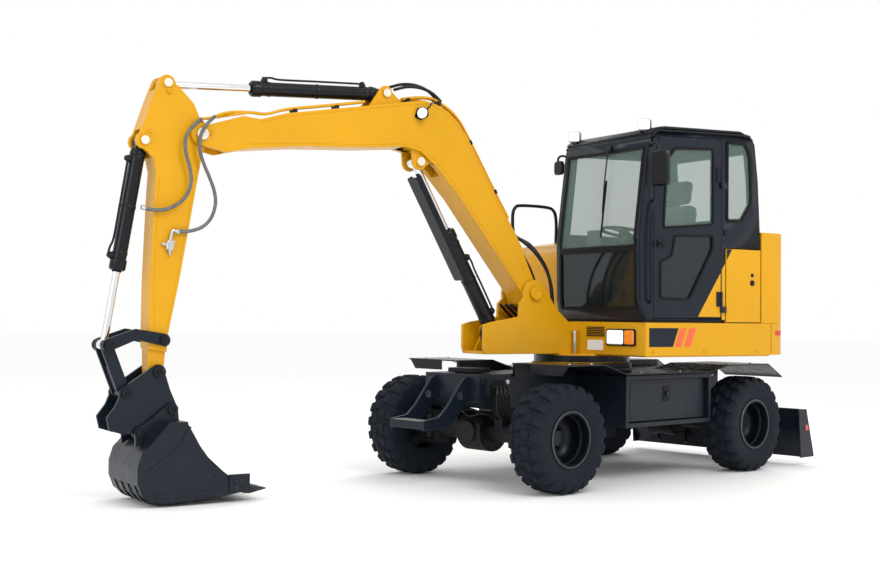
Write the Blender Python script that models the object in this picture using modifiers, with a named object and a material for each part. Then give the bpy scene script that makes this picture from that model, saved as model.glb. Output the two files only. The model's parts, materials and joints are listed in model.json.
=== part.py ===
"""Compact wheeled excavator, modelled in metres with +Z up.

The undercarriage points along +X. The upper structure stands turned by SLEW_ANGLE about its slew
axis, and the boom, arm and bucket lie in its middle plane. Every moving piece hangs from an empty
on its joint's axis, so the empties alone set the pose. In the side outlines the first number runs
along the piece's own X and the second along its own Z.
"""

import math

import bmesh
import bpy
from mathutils import Matrix, Vector

# ---------------------------------------------------------------- driving dimensions
MACHINE_X = -1.013          # middle of the wheelbase, seen from the middle of the whole machine
MACHINE_Y = -0.071
GAP = 0.0003                # between pieces that touch
PIN_PLAY = 0.0005           # between a pin and its bore
SWING_PLAY = 0.006          # between faces that swing past each other

WHEELBASE = 2.35
TRACK = 1.60
TYRE_RADIUS = 0.405
TYRE_WIDTH = 0.30
RIM_RADIUS = 0.215
KINGPIN_Y = 0.60

CHASSIS_HALF = 0.30
CHASSIS_TOP = 0.86
CHASSIS_BELLY = 0.45
CHASSIS_BRIDGE = 0.60       # underside where it passes over an axle
RING_RADIUS = 0.42
RING_SPLIT = 0.925
FRAME_BOTTOM = 0.99
FRAME_TOP = 1.265
DECK_EDGE = 0.90
BOX_FRONT, BOX_REAR = 0.41, -0.70
BOX_SIDE = 0.82
BOX_BOTTOM, BOX_TOP = 0.44, 0.845

BLADE_HALF = 0.95
BLADE_PIVOT = (-1.455, 0.52)
BLADE_EYE = (-1.815, 0.42)
BLADE_BOTTOM, BLADE_TOP = 0.07, 0.50

SLEW_ANGLE = math.radians(-10)
UPPER_HALF = 0.898
TAIL_X = -1.64
TAIL_CORNER_X = -1.48
FRAME_REAR = -1.32
CAB_RIGHT = -0.17
CAB_LEFT = 0.895
CAB_WALL = 0.04
CAB_FLOOR = 1.285
CAB_STEP_X = -0.78          # where the lower cab ends and the engine bay begins
CAB_STEP_Z = 1.885
CAB_REAR = -1.19
CAB_ROOF = 2.85
DOOR_FRONT, DOOR_REAR = 0.0, -0.735
HOOD_TOP = 2.03
RIGHT_HOOD_FRONT = 0.08
RIGHT_HOOD_TOP = 1.985

BOOM_FOOT = (0.62, 1.49)
BOOM_LENGTH = 3.058
BOOM_HALF = 0.1225
BOOM_RISE = math.radians(20.3)
ARM_LENGTH = 1.68
ARM_HALF = 0.09
ARM_LEAN = math.radians(9.87)
BOOM_CYLINDER_FOOT = (0.93, 1.19)
BOOM_CYLINDER_EYE = (1.345, 0.572)      # in the boom's own frame
ARM_CYLINDER_FOOT = (1.805, 0.938)    # in the boom's own frame
ARM_CYLINDER_EYE = (-0.29, 0.30)    # in the arm's own frame
BUCKET_CYLINDER_FOOT = (0.14, 0.385)  # in the arm's own frame
IDLER_BACK = 0.222                     # idler pivot to arm tip, along the arm
IDLER_LENGTH = 0.388
IDLER_ANGLE = math.radians(-5.0)
LINK_PIN = (0.222, -0.139)             # on the coupler, from the arm tip
BUCKET_HALF = 0.30


# ---------------------------------------------------------------- scene and materials
def new_collection(name):
    collection = bpy.data.collections.new(name)
    bpy.context.scene.collection.children.link(collection)
    return collection


for leftover in list(bpy.data.objects):
    bpy.data.objects.remove(leftover)
MODEL = new_collection("wheeled_excavator")
CUTTERS = new_collection("cutters")


def paint(name, colour, roughness, metallic=0.0, alpha=1.0):
    made = bpy.data.materials.new(name)
    made.use_nodes = True
    shader = made.node_tree.nodes["Principled BSDF"]
    shader.inputs["Base Color"].default_value = (*colour, 1.0)
    shader.inputs["Roughness"].default_value = roughness
    shader.inputs["Metallic"].default_value = metallic
    shader.inputs["Alpha"].default_value = alpha
    return made


YELLOW = paint("yellow_paint", (0.80, 0.42, 0.02), 0.35)
SLATE = paint("slate_paint", (0.035, 0.045, 0.06), 0.45)
BLACK = paint("black_paint", (0.012, 0.013, 0.016), 0.5)
RUBBER = paint("tyre_rubber", (0.015, 0.017, 0.022), 0.85)
CHROME = paint("chrome", (0.75, 0.75, 0.76), 0.12, 1.0)
GLASS = paint("cab_glass", (0.35, 0.52, 0.46), 0.05, 0.0, 0.35)
PLASTIC = paint("black_plastic", (0.02, 0.02, 0.022), 0.6)
FABRIC = paint("seat_fabric", (0.03, 0.032, 0.035), 0.9)
HOSE = paint("hose_grey", (0.22, 0.23, 0.24), 0.6)
CAST = paint("cast_iron", (0.03, 0.032, 0.036), 0.6, 0.4)


# ---------------------------------------------------------------- shapes
def mesh_object(name, mesh):
    made = bpy.data.objects.new(name, mesh)
    CUTTERS.objects.link(made)
    made.hide_render = True
    made.display_type = "WIRE"
    return made


def box(x, y, z):
    """A block between two X values, two Y values and two Z values."""
    cube = bmesh.new()
    bmesh.ops.create_cube(cube, size=1.0)
    size = Vector((x[1] - x[0], y[1] - y[0], z[1] - z[0]))
    middle = Vector((x[1] + x[0], y[1] + y[0], z[1] + z[0])) / 2
    place = Matrix.Translation(middle) @ Matrix.Diagonal((*size, 1.0))
    bmesh.ops.transform(cube, matrix=place, verts=cube.verts)
    mesh = bpy.data.meshes.new("box")
    cube.to_mesh(mesh)
    cube.free()
    return mesh_object("box", mesh)


def cylinder(start, end, radius, sides=24, end_radius=None):
    """A round bar, or a cone, between two points."""
    start, end = Vector(start), Vector(end)
    run = end - start
    bar = bmesh.new()
    bmesh.ops.create_cone(
        bar, cap_ends=True, segments=sides, radius1=radius,
        radius2=radius if end_radius is None else end_radius, depth=run.length)
    turn = Vector((0, 0, 1)).rotation_difference(run).to_matrix().to_4x4()
    place = Matrix.Translation((start + end) / 2) @ turn
    bmesh.ops.transform(bar, matrix=place, verts=bar.verts)
    mesh = bpy.data.meshes.new("cylinder")
    bar.to_mesh(mesh)
    bar.free()
    return mesh_object("cylinder", mesh)


TO_AXIS = {
    "x": Matrix(((0, 0, 1, 0), (1, 0, 0, 0), (0, 1, 0, 0), (0, 0, 0, 1))),
    "y": Matrix(((1, 0, 0, 0), (0, 0, -1, 0), (0, 1, 0, 0), (0, 0, 0, 1))),
    "z": Matrix.Identity(4),
}


def curve_mesh(curve, matrix, weld=1e-5):
    """The closed mesh that a curve evaluates to, with its caps welded on."""
    holder = bpy.data.objects.new("curve", curve)
    CUTTERS.objects.link(holder)
    bpy.context.view_layer.update()
    evaluated = holder.evaluated_get(bpy.context.evaluated_depsgraph_get())
    mesh = bpy.data.meshes.new_from_object(evaluated)
    bpy.data.objects.remove(holder)
    welded = bmesh.new()
    welded.from_mesh(mesh)
    bmesh.ops.remove_doubles(welded, verts=welded.verts, dist=weld)
    bmesh.ops.transform(welded, matrix=matrix, verts=welded.verts)
    bmesh.ops.recalc_face_normals(welded, faces=welded.faces)
    welded.to_mesh(mesh)
    welded.free()
    return mesh


def prism(outline, low, high, axis="y", holes=()):
    """A flat outline carried along an axis from low to high."""
    curve = bpy.data.curves.new("outline", "CURVE")
    curve.dimensions = "2D"
    curve.fill_mode = "BOTH"
    curve.extrude = abs(high - low) / 2
    for loop in (outline, *holes):
        spline = curve.splines.new("POLY")
        spline.points.add(len(loop) - 1)
        for point, (first, second) in zip(spline.points, loop):
            point.co = (first, second, 0.0, 1.0)
        spline.use_cyclic_u = True
    matrix = TO_AXIS[axis].copy()
    middle = (low + high) / 2
    shift = {"x": (middle, 0, 0), "y": (0, middle, 0), "z": (0, 0, middle)}[axis]
    return mesh_object("prism", curve_mesh(curve, Matrix.Translation(shift) @ matrix))


def turned(profile, matrix, steps=32):
    """A closed profile of (radius, height) points turned about its height axis."""
    flat = bmesh.new()
    corners = [flat.verts.new((radius, 0.0, height)) for radius, height in profile]
    for here, after in zip(corners, corners[1:] + corners[:1]):
        if here.co.x > 1e-6 or after.co.x > 1e-6:
            flat.edges.new((here, after))
    mesh = bpy.data.meshes.new("turned")
    flat.to_mesh(mesh)
    flat.free()
    made = mesh_object("turned", mesh)
    screw = made.modifiers.new("Screw", "SCREW")
    screw.axis = "Z"
    screw.steps = screw.render_steps = steps
    screw.use_merge_vertices = True
    screw.merge_threshold = 0.0001
    screw.use_normal_calculate = True
    bpy.context.view_layer.update()
    evaluated = made.evaluated_get(bpy.context.evaluated_depsgraph_get())
    round_mesh = bpy.data.meshes.new_from_object(evaluated)
    bpy.data.objects.remove(made)
    tidy = bmesh.new()
    tidy.from_mesh(round_mesh)
    bmesh.ops.remove_doubles(tidy, verts=tidy.verts, dist=1e-5)
    bmesh.ops.transform(tidy, matrix=matrix, verts=tidy.verts)
    bmesh.ops.recalc_face_normals(tidy, faces=tidy.faces)
    tidy.to_mesh(round_mesh)
    tidy.free()
    return mesh_object("turned", round_mesh)


def arc(centre, radius, start, end, count):
    """Points along a circle from one angle to another, in degrees."""
    step = (end - start) / (count - 1)
    angles = [math.radians(start + step * number) for number in range(count)]
    return [(centre[0] + radius * math.cos(a), centre[1] + radius * math.sin(a)) for a in angles]


def circle(centre, radius, count=24):
    return arc(centre, radius, 0, 360 - 360 / count, count)


def inset(outline, depth):
    """The outline of a counter-clockwise polygon moved inwards by depth."""
    moved = []
    count = len(outline)
    for number in range(count):
        before, here, after = (Vector(outline[(number + k) % count]) for k in (-1, 0, 1))
        first, second = (here - before).normalized(), (after - here).normalized()
        normal_a, normal_b = Vector((-first.y, first.x)), Vector((-second.y, second.x))
        lean = (normal_a + normal_b) / (1 + normal_a.dot(normal_b))
        moved.append(tuple(here + lean * depth))
    return moved


def piece(name, base, material, parent, add=(), cut=(), after=(), bevel=0.0, smooth=35):
    """One sub-part: a base shape with shapes joined on, cut out, and joined on after the cuts."""
    base.name = name
    base.data.name = name
    CUTTERS.objects.unlink(base)
    MODEL.objects.link(base)
    base.hide_render = False
    base.display_type = "TEXTURED"
    base.parent = parent
    for operation, shapes in (("UNION", add), ("DIFFERENCE", cut), ("UNION", after)):
        for shape in shapes:
            shape.name = f"{name}_{operation.lower()}"
            shape.parent = parent
            boolean = base.modifiers.new(operation.title(), "BOOLEAN")
            boolean.operation = operation
            boolean.object = shape
    if bevel:
        rounding = base.modifiers.new("Bevel", "BEVEL")
        rounding.width = bevel
        rounding.segments = 1
        rounding.limit_method = "ANGLE"
        rounding.angle_limit = math.radians(40)
    base.data.materials.clear()
    base.data.materials.append(material)
    base.data.shade_smooth()
    base.data.set_sharp_from_angle(angle=math.radians(smooth))
    return base


def empty(name, parent, location, pitch=0.0, yaw=0.0):
    made = bpy.data.objects.new(name, None)
    MODEL.objects.link(made)
    made.parent = parent
    made.location = location
    made.rotation_euler = (0.0, pitch, yaw)
    return made


def eye(outer, inner, half, centre=(0.0, 0.0)):
    """A cross tube around a pin, as an outer bar and the bore that is cut from it."""
    x, z = centre
    tube = cylinder((x, -half, z), (x, half, z), outer)
    bore = cylinder((x, -half - 0.05, z), (x, half + 0.05, z), inner)
    return tube, bore


MACHINE = empty("machine", None, (MACHINE_X, MACHINE_Y, 0.0))
FRONT_X, REAR_X = WHEELBASE / 2, -WHEELBASE / 2
AXLE_Z = TYRE_RADIUS
SIDES = (("left", 1), ("right", -1))


def span(side, inner, outer):
    """A Y interval on one side of the machine."""
    return (inner, outer) if side > 0 else (-outer, -inner)


# ---------------------------------------------------------------- undercarriage
def chassis():
    front, rear = FRONT_X + 0.33, REAR_X - 0.36
    profile = [
        (front, CHASSIS_TOP), (rear, CHASSIS_TOP), (rear, 0.455), (REAR_X - 0.22, 0.453),
        (REAR_X - 0.16, 0.585), (REAR_X + 0.345, 0.588), (REAR_X + 0.44, CHASSIS_BELLY),
        (FRONT_X - 0.44, CHASSIS_BELLY), (FRONT_X - 0.345, 0.59), (FRONT_X + 0.22, 0.592), (front, 0.66)]
    arches = [box((x + low, x + high), (-0.4, 0.4), (0.2, CHASSIS_BRIDGE))
              for x, low, high in ((REAR_X, -0.152, 0.334), (FRONT_X, -0.334, 0.238))]
    pedestal = cylinder((0, 0, CHASSIS_TOP - 0.02), (0, 0, 0.89), CHASSIS_HALF - 0.005, 40)
    ring = cylinder((0, 0, 0.878), (0, 0, RING_SPLIT), RING_RADIUS, 40)
    blade_x, blade_z = BLADE_PIVOT
    pins = [cylinder((blade_x, s * (CHASSIS_HALF - 0.01), blade_z),
                     (blade_x, s * (CHASSIS_HALF + 0.062), blade_z), 0.03) for s in (1, -1)]
    lug = arc((rear - 0.06, 0.765), 0.045, 90, 270, 7) + [(rear + 0.01, 0.70), (rear + 0.01, 0.83)]
    lugs = [prism(lug, s * 0.045, s * 0.07) for s in (1, -1)]
    lug_pin = cylinder((rear - 0.06, -0.055, 0.765), (rear - 0.06, 0.055, 0.765), 0.02)
    gearbox = box((-0.26, 0.22), (-0.17, 0.17), (0.29, CHASSIS_BELLY + 0.01))
    shaft = cylinder((REAR_X + 0.175, 0, AXLE_Z - 0.01), (FRONT_X - 0.175, 0, AXLE_Z - 0.01), 0.032, 16)
    return piece("chassis", prism(profile, -CHASSIS_HALF, CHASSIS_HALF), SLATE, MACHINE,
                 cut=arches, after=[pedestal, ring, *pins, *lugs, lug_pin, gearbox, shaft])


def side_deck(name, side):
    """The fender plates of one side, which run on over the box between the wheels."""
    thick = 0.010
    top = [(FRONT_X - 0.02, 0.945), (FRONT_X - 0.415, 0.945), (FRONT_X - 0.695, 0.866),
           (REAR_X + 0.575, 0.866), (REAR_X + 0.345, 0.915), (REAR_X - 0.255, 0.915),
           (REAR_X - 0.47, 0.80)]
    outline = top + [(x, z - thick) for x, z in reversed(top)]
    plate = prism(outline, *span(side, CHASSIS_HALF + GAP, DECK_EDGE))
    front = FRONT_X - 0.02
    drop = prism([(side * 0.50, 0.94), (side * 0.885, 0.94), (side * 0.82, 0.862), (side * 0.50, 0.862)],
                 front - 0.010, front, axis="x")
    recess = cylinder((0, 0, 0.80), (0, 0, 1.0), RING_RADIUS + 0.01, 40)
    brace = prism([(0.50, 0.85), (FRONT_X - 0.40, 0.937), (front - 0.01, 0.937), (front - 0.01, 0.84),
                   (FRONT_X - 0.35, 0.84)], *span(side, CHASSIS_HALF + GAP, CHASSIS_HALF + 0.03))
    rear_brace = prism([(REAR_X + 0.465, 0.875), (REAR_X + 0.34, 0.907), (REAR_X - 0.25, 0.907),
                        (REAR_X - 0.25, 0.80), (REAR_X + 0.465, 0.80)],
                       *span(side, CHASSIS_HALF + GAP, CHASSIS_HALF + 0.03))
    lip = box((BOX_REAR, BOX_FRONT), span(side, CHASSIS_HALF + GAP, CHASSIS_HALF + 0.03), (0.846, 0.86))
    return piece(name, plate, SLATE, MACHINE, add=[drop, brace, rear_brace, lip], cut=[recess])


def tool_box(name, side):
    inner, outer = CHASSIS_HALF + GAP, BOX_SIDE
    shell = box((BOX_REAR, BOX_FRONT), span(side, inner, outer), (BOX_BOTTOM, BOX_TOP))
    hollow = box((BOX_REAR + 0.03, BOX_FRONT - 0.03), span(side, inner + 0.02, outer + 0.05),
                 (BOX_BOTTOM + 0.035, BOX_TOP - 0.035))
    return piece(name, shell, SLATE, MACHINE, cut=[hollow])


def tool_box_door(name, side):
    hinge = empty(f"{name}_hinge", MACHINE, (0.0, side * (BOX_SIDE - 0.045), BOX_BOTTOM + 0.045))
    width = (BOX_REAR + 0.036, BOX_FRONT - 0.036)
    door = box(width, span(side, -0.006, 0.006), (0.0, BOX_TOP - BOX_BOTTOM - 0.086))
    knob = cylinder((-0.145, side * 0.004, 0.20), (-0.145, side * 0.024, 0.20), 0.02, 16)
    pivot = cylinder((BOX_REAR + 0.03 + GAP, 0, 0), (BOX_FRONT - 0.03 - GAP, 0, 0), 0.0075, 12)
    return piece(name, door, SLATE, hinge, add=[knob, pivot])


def front_step():
    """The entry step: two curved side plates with a cross bar between them."""
    start = FRONT_X + 0.33 + GAP
    bar_x, bar_z = FRONT_X + 0.785, 0.49
    side_plate = [
        (start, 0.84), (start, 0.66), (start + 0.10, 0.56), (start + 0.20, 0.475),
        (start + 0.28, 0.455), (bar_x, 0.455), (bar_x, 0.525), (start + 0.30, 0.55),
        (start + 0.22, 0.62), (start + 0.10, 0.77), (start + 0.05, 0.83)]
    plates = [prism(side_plate, s * 0.165, s * 0.19, holes=[circle((start + 0.09, 0.70), 0.03, 16)])
              for s in (1, -1)]
    bar = box((bar_x - 0.13, bar_x), (-0.175, 0.175), (bar_z - 0.028, bar_z + 0.032))
    back = box((start, start + 0.012), (-0.175, 0.175), (0.67, 0.83))
    return piece("front_step", bar, SLATE, MACHINE, add=[*plates, back])


def axle_beam():
    """The parts that both axles share: tube, round gear housing and pads under the chassis."""
    tube = cylinder((0, -0.46, 0), (0, 0.46, 0), 0.075)
    housing = cylinder((0, -0.13, 0), (0, 0.13, 0), 0.155, 24)
    nose = cylinder((-0.17, 0, 0), (0.17, 0, 0), 0.085, 16)
    rise = CHASSIS_BRIDGE - AXLE_Z - GAP
    pads = [box((-0.07, 0.07), (s * 0.25 - 0.045, s * 0.25 + 0.045), (0.0, rise)) for s in (1, -1)]
    return tube, [housing, nose, *pads]


def front_axle():
    place = empty("front_axle_place", MACHINE, (FRONT_X, 0, AXLE_Z))
    tube, extra = axle_beam()
    for s in (1, -1):
        extra.append(box((-0.055, 0.055), (s * KINGPIN_Y - s * 0.09, s * 0.44), (-0.13, 0.13))
                     if s < 0 else box((-0.055, 0.055), (0.44, KINGPIN_Y - 0.09), (-0.13, 0.13)))
        for z in (1, -1):
            extra.append(box((-0.045, 0.045), span(s, 0.45, KINGPIN_Y + 0.035), span(z, 0.10, 0.13)))
            extra.append(cylinder((0, s * KINGPIN_Y, z * 0.075), (0, s * KINGPIN_Y, z * 0.14), 0.022, 16))
    return piece("front_axle", tube, CAST, place, add=extra)


def knuckle(name, side):
    place = empty(f"{name}_kingpin", MACHINE, (FRONT_X, side * KINGPIN_Y, AXLE_Z))
    body = cylinder((0, 0, -0.0955), (0, 0, 0.0955), 0.05)
    hub_end = WHEEL_HUB_Y - KINGPIN_Y - GAP
    spindle = cylinder((0, 0, 0), (0, side * hub_end, 0), 0.048)
    flange = cylinder((0, side * (hub_end - 0.02), 0), (0, side * hub_end, 0), 0.085)
    arm = box((-0.17, 0.0), span(side, -0.02, 0.02), (-0.05, -0.02))
    bores = [cylinder((0, 0, z * 0.07), (0, 0, z * 0.12), 0.022 + PIN_PLAY, 16) for z in (1, -1)]
    return piece(name, body, CAST, place, add=[spindle, flange, arm], cut=bores)


def rear_axle():
    place = empty("rear_axle_place", MACHINE, (REAR_X, 0, AXLE_Z))
    tube, extra = axle_beam()
    end = WHEEL_HUB_Y - GAP
    for s in (1, -1):
        extra.append(cylinder((0, s * 0.45, 0), (0, s * end, 0), 0.06))
        extra.append(cylinder((0, s * (end - 0.02), 0), (0, s * end, 0), 0.085))
    return piece("rear_axle", tube, CAST, place, add=extra)


WHEEL_HUB_Y = TRACK / 2 - 0.085     # inner face of the wheel's disc


def wheel(corner, x, side):
    """One wheel: a rim with its disc and hub, and a tyre on it."""
    place = empty(f"wheel_{corner}", MACHINE, (x, side * TRACK / 2, AXLE_Z))
    out = Matrix.Rotation(-side * math.pi / 2, 4, "X")
    half, disc = TYRE_WIDTH / 2, WHEEL_HUB_Y - TRACK / 2
    bead = RIM_RADIUS - 0.012
    rim = [
        (0.0, disc), (0.105, disc), (0.150, disc), (0.185, -0.03), (0.185, -half + 0.03),
        (bead, -half + 0.012), (bead, half - 0.012), (bead - 0.016, half - 0.012),
        (0.188, 0.045), (0.188, -0.010), (0.150, disc + 0.016), (0.075, disc + 0.016),
        (0.068, disc + 0.085), (0.0, disc + 0.085)]
    tyre = [
        (RIM_RADIUS - 0.012 + GAP, -half + 0.012), (RIM_RADIUS + 0.015, -half + 0.004),
        (0.30, -half), (TYRE_RADIUS - 0.045, -half + 0.008), (TYRE_RADIUS - 0.008, -half + 0.035),
        (TYRE_RADIUS, -half + 0.075), (TYRE_RADIUS, half - 0.075), (TYRE_RADIUS - 0.008, half - 0.035),
        (TYRE_RADIUS - 0.045, half - 0.008), (0.30, half), (RIM_RADIUS + 0.015, half - 0.004),
        (RIM_RADIUS - 0.012 + GAP, half - 0.012)]
    piece(f"rim_{corner}", turned(rim, out, 32), SLATE, place)
    piece(f"tyre_{corner}", turned(tyre, out, 32), RUBBER, place)


def blade():
    """The dozer blade at the rear: a curved mouldboard, end plates and two lift arms."""
    place = empty("blade_pivot", MACHINE, (BLADE_PIVOT[0], 0, BLADE_PIVOT[1]))
    back = -0.42
    bottom, top = BLADE_BOTTOM - BLADE_PIVOT[1], BLADE_TOP - BLADE_PIVOT[1]
    middle = (bottom + top) / 2
    board = [(back - 0.10, bottom), (back - 0.035, middle - 0.09), (back - 0.02, middle),
             (back - 0.035, middle + 0.09), (back - 0.075, top), (back - 0.055, top),
             (back - 0.012, middle + 0.09), (back + 0.004, middle), (back - 0.012, middle - 0.09),
             (back - 0.07, bottom)]
    end_plate = [(back + 0.035, top), (back - 0.09, top), (back - 0.20, bottom + 0.06),
                 (back - 0.215, bottom), (back + 0.0, bottom)]
    ends = [prism(end_plate, s * (BLADE_HALF - 0.014), s * BLADE_HALF) for s in (1, -1)]
    arms, bores = [], []
    for s in (1, -1):
        inner, outer = CHASSIS_HALF + SWING_PLAY, CHASSIS_HALF + 0.05
        outline = arc((0, 0), 0.055, -70, 70, 7) + arc((0, 0), 0.055, 90, 120, 2) + [
            (back - 0.01, middle + 0.13), (back - 0.01, middle - 0.10), (-0.12, -0.055)]
        arms.append(prism(outline, *span(s, inner, outer)))
        bores.append(cylinder((0, s * (inner - 0.02), 0), (0, s * (outer + 0.02), 0), 0.03 + PIN_PLAY))
    tie = box((back - 0.01, back + 0.05), (-CHASSIS_HALF - 0.04, CHASSIS_HALF + 0.04),
              (middle - 0.04, middle + 0.04))
    eye_z = BLADE_EYE[1] - BLADE_PIVOT[1]
    eye_x = BLADE_EYE[0] - BLADE_PIVOT[0]
    lug = arc((eye_x, eye_z), 0.04, -90, 90, 7) + [(back - 0.045, eye_z + 0.04), (back - 0.022, eye_z - 0.08)]
    lugs = [prism(lug, s * 0.045, s * 0.07) for s in (1, -1)]
    heads = [cylinder((eye_x, s * 0.045, eye_z), (eye_x, s * 0.08, eye_z), 0.024, 16) for s in (1, -1)]
    return piece("blade", prism(board, -BLADE_HALF + 0.005, BLADE_HALF - 0.005), SLATE, place,
                 add=[*ends, *arms, tie, *lugs, *heads], cut=bores)


def hydraulic_cylinder(name, parent, foot, tip, barrel_radius, rod_radius, barrel_length,
                       foot_half, eye_half, foot_pin, foot_eye, rod_eye):
    """A barrel that swings on its foot pin and a rod that slides in it, along their own X."""
    run = Vector((tip[0] - foot[0], tip[1] - foot[1]))
    pitch = -math.atan2(run.y, run.x)
    place = empty(f"{name}_foot", parent, (foot[0], 0.0, foot[1]), pitch)
    tube, bore = eye(foot_eye, foot_pin + PIN_PLAY, foot_half)
    start = foot_eye + 0.012
    body = cylinder((start, 0, 0), (barrel_length, 0, 0), barrel_radius)
    neck = box((foot_eye * 0.5, start + 0.02), (-foot_half * 0.8, foot_half * 0.8),
               (-foot_eye * 0.75, foot_eye * 0.75))
    clearance = rod_radius + PIN_PLAY
    depth = cylinder((start + 0.02, 0, 0), (barrel_length + 0.05, 0, 0), clearance)
    piece(f"{name}_cylinder", body, SLATE, place, add=[tube, neck], cut=[bore, depth])
    length = run.length
    rod = cylinder((max(start + 0.08, length - barrel_length * 0.93), 0, 0),
                   (length - rod_eye * 0.6, 0, 0), rod_radius)
    ring, hole = eye(rod_eye, rod_eye * 0.5, eye_half, (length, 0.0))
    piece(f"{name}_rod", rod, CHROME, place, add=[ring], cut=[hole])


# ---------------------------------------------------------------- upper structure
UPPER = empty("slew_axis", MACHINE, (0, 0, 0), yaw=SLEW_ANGLE)


def frame_plan(shrink=0.0):
    side = UPPER_HALF - shrink
    nose = 0.165 - shrink * 0.5
    return [(0.08 - shrink, side), (FRAME_REAR, side), (FRAME_REAR, -side), (0.08 - shrink, -side),
            (0.19 - shrink, -nose), (0.19 - shrink, nose)]


def swing_frame():
    outer = prism(frame_plan(), FRAME_BOTTOM + 0.01, FRAME_TOP, axis="z")
    floor = prism(frame_plan(0.02), FRAME_BOTTOM, FRAME_BOTTOM + 0.03, axis="z")
    low = FRAME_BOTTOM + 0.025
    hollow = prism(inset(frame_plan(), 0.02), low, FRAME_TOP - 0.022, axis="z")
    bay = box((FRAME_REAR - 0.1, CAB_STEP_X - 0.02), (-UPPER_HALF + 0.02, UPPER_HALF - 0.02),
              (low, FRAME_TOP + 0.1))
    ring = cylinder((0, 0, RING_SPLIT + GAP), (0, 0, FRAME_BOTTOM + 0.01), RING_RADIUS - 0.02, 40)
    foot_x, foot_z = BOOM_FOOT
    nose_plate = [(0.0, FRAME_BOTTOM + 0.01), (1.10, FRAME_BOTTOM + 0.01), (1.12, 1.05), (1.12, 1.235),
                  (1.05, 1.255), (0.775, 1.30), (0.77, 1.41)]
    nose_plate += arc(BOOM_FOOT, 0.11, -20, 150, 9) + [(0.40, 1.37), (0.27, 1.262), (0.0, 1.262)]
    plates = [prism(nose_plate, s * 0.135, s * 0.165) for s in (1, -1)]
    nose_floor = box((0.1, 1.10), (-0.165, 0.165), (FRAME_BOTTOM + 0.01, FRAME_BOTTOM + 0.035))
    pin = cylinder((foot_x, -0.185, foot_z), (foot_x, 0.185, foot_z), 0.04)
    cx, cz = BOOM_CYLINDER_FOOT
    lug = arc(BOOM_CYLINDER_FOOT, 0.065, -35, 165, 9) + [(cx - 0.14, 1.01), (cx + 0.13, 1.01)]
    lugs = [prism(lug, s * 0.064, s * 0.088) for s in (1, -1)]
    lug_pin = cylinder((cx, -0.10, cz), (cx, 0.10, cz), 0.028)
    return piece("swing_frame", outer, YELLOW, UPPER, add=[floor],
                 cut=[hollow, bay], after=[ring, nose_floor, *plates, pin, *lugs, lug_pin])


def tail_plan(front):
    """The tail seen from above: straight sides, round corners and a shallow curve behind."""
    side = UPPER_HALF
    corner = 0.09
    bow = TAIL_CORNER_X - TAIL_X
    curve = []
    for number in range(9):
        share = 1 - number / 4
        y = share * (side - corner * 0.45)
        curve.append((TAIL_X + bow * share * share, y))
    left = [(front, side), (TAIL_CORNER_X + corner, side)]
    right = [(TAIL_CORNER_X + corner, -side), (front, -side)]
    return left + curve + right


def counterweight():
    block = prism(tail_plan(FRAME_REAR - GAP), FRAME_BOTTOM + 0.01, FRAME_TOP, axis="z")
    return piece("counterweight", block, YELLOW, UPPER)


def engine_block():
    low = FRAME_BOTTOM + 0.025 + GAP
    block = box((FRAME_REAR + 0.04, CAB_STEP_X - 0.06), (-0.38, 0.38), (low, 1.62))
    return piece("engine_block", block, CAST, UPPER)


HOOD_FRONT = CAB_REAR - 0.012
HOOD_WALL = 0.03


def rear_hood():
    """The hood over the tail: walls and top, open below and in front, with a rear doorway."""
    low = FRAME_TOP + GAP
    outer = prism(tail_plan(HOOD_FRONT), low, HOOD_TOP, axis="z")
    inner_plan = [(x + HOOD_WALL if x < HOOD_FRONT - 0.01 else HOOD_FRONT + 0.1,
                   math.copysign(max(abs(y) - HOOD_WALL, 0), y)) for x, y in tail_plan(HOOD_FRONT)]
    inner = prism(inner_plan, low - 0.1, HOOD_TOP - HOOD_WALL, axis="z")
    doorway = box((TAIL_X - 0.1, TAIL_X + 0.2), (-0.56, 0.56), (1.36, 1.84))
    return piece("rear_hood", outer, YELLOW, UPPER, cut=[inner, doorway])


def rear_door():
    """The louvred service door in the tail, hinged at its right edge."""
    edge, top, bottom = 0.553, 1.834, 1.366
    bow = TAIL_CORNER_X - TAIL_X
    half = UPPER_HALF - 0.04
    outer = [(TAIL_X + bow * (y / half) ** 2, y) for y in (edge - edge * k / 4 for k in range(9))]
    hinge_x = outer[-1][0] - 0.002
    hinge = empty("rear_door_hinge", UPPER, (hinge_x, -edge, 0.0))
    plan = [(x - hinge_x, y + edge) for x, y in outer]
    plan += [(x + 0.02, y) for x, y in reversed(plan)]
    pivot = cylinder((0, 0, 1.36 + GAP), (0, 0, 1.84 - GAP), 0.006, 12)
    return piece("rear_door", prism(plan, bottom, top, axis="z"), YELLOW, hinge, add=[pivot])


def side_door():
    """The engine service door behind the cab, hinged at its front edge."""
    hinge = empty("engine_door_hinge", UPPER, (CAB_STEP_X - 0.02, UPPER_HALF - 0.01, 0.0))
    length = HOOD_FRONT - CAB_STEP_X - 0.0
    panel = box((length + 0.035, 0.008), (-0.022, 0.010), (FRAME_TOP + 0.008, CAB_STEP_Z - 0.008))
    pivot = cylinder((0, 0, FRAME_TOP + GAP), (0, 0, FRAME_TOP + 0.03), 0.006, 12)
    return piece("engine_door", panel, YELLOW, hinge, add=[pivot])


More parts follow.
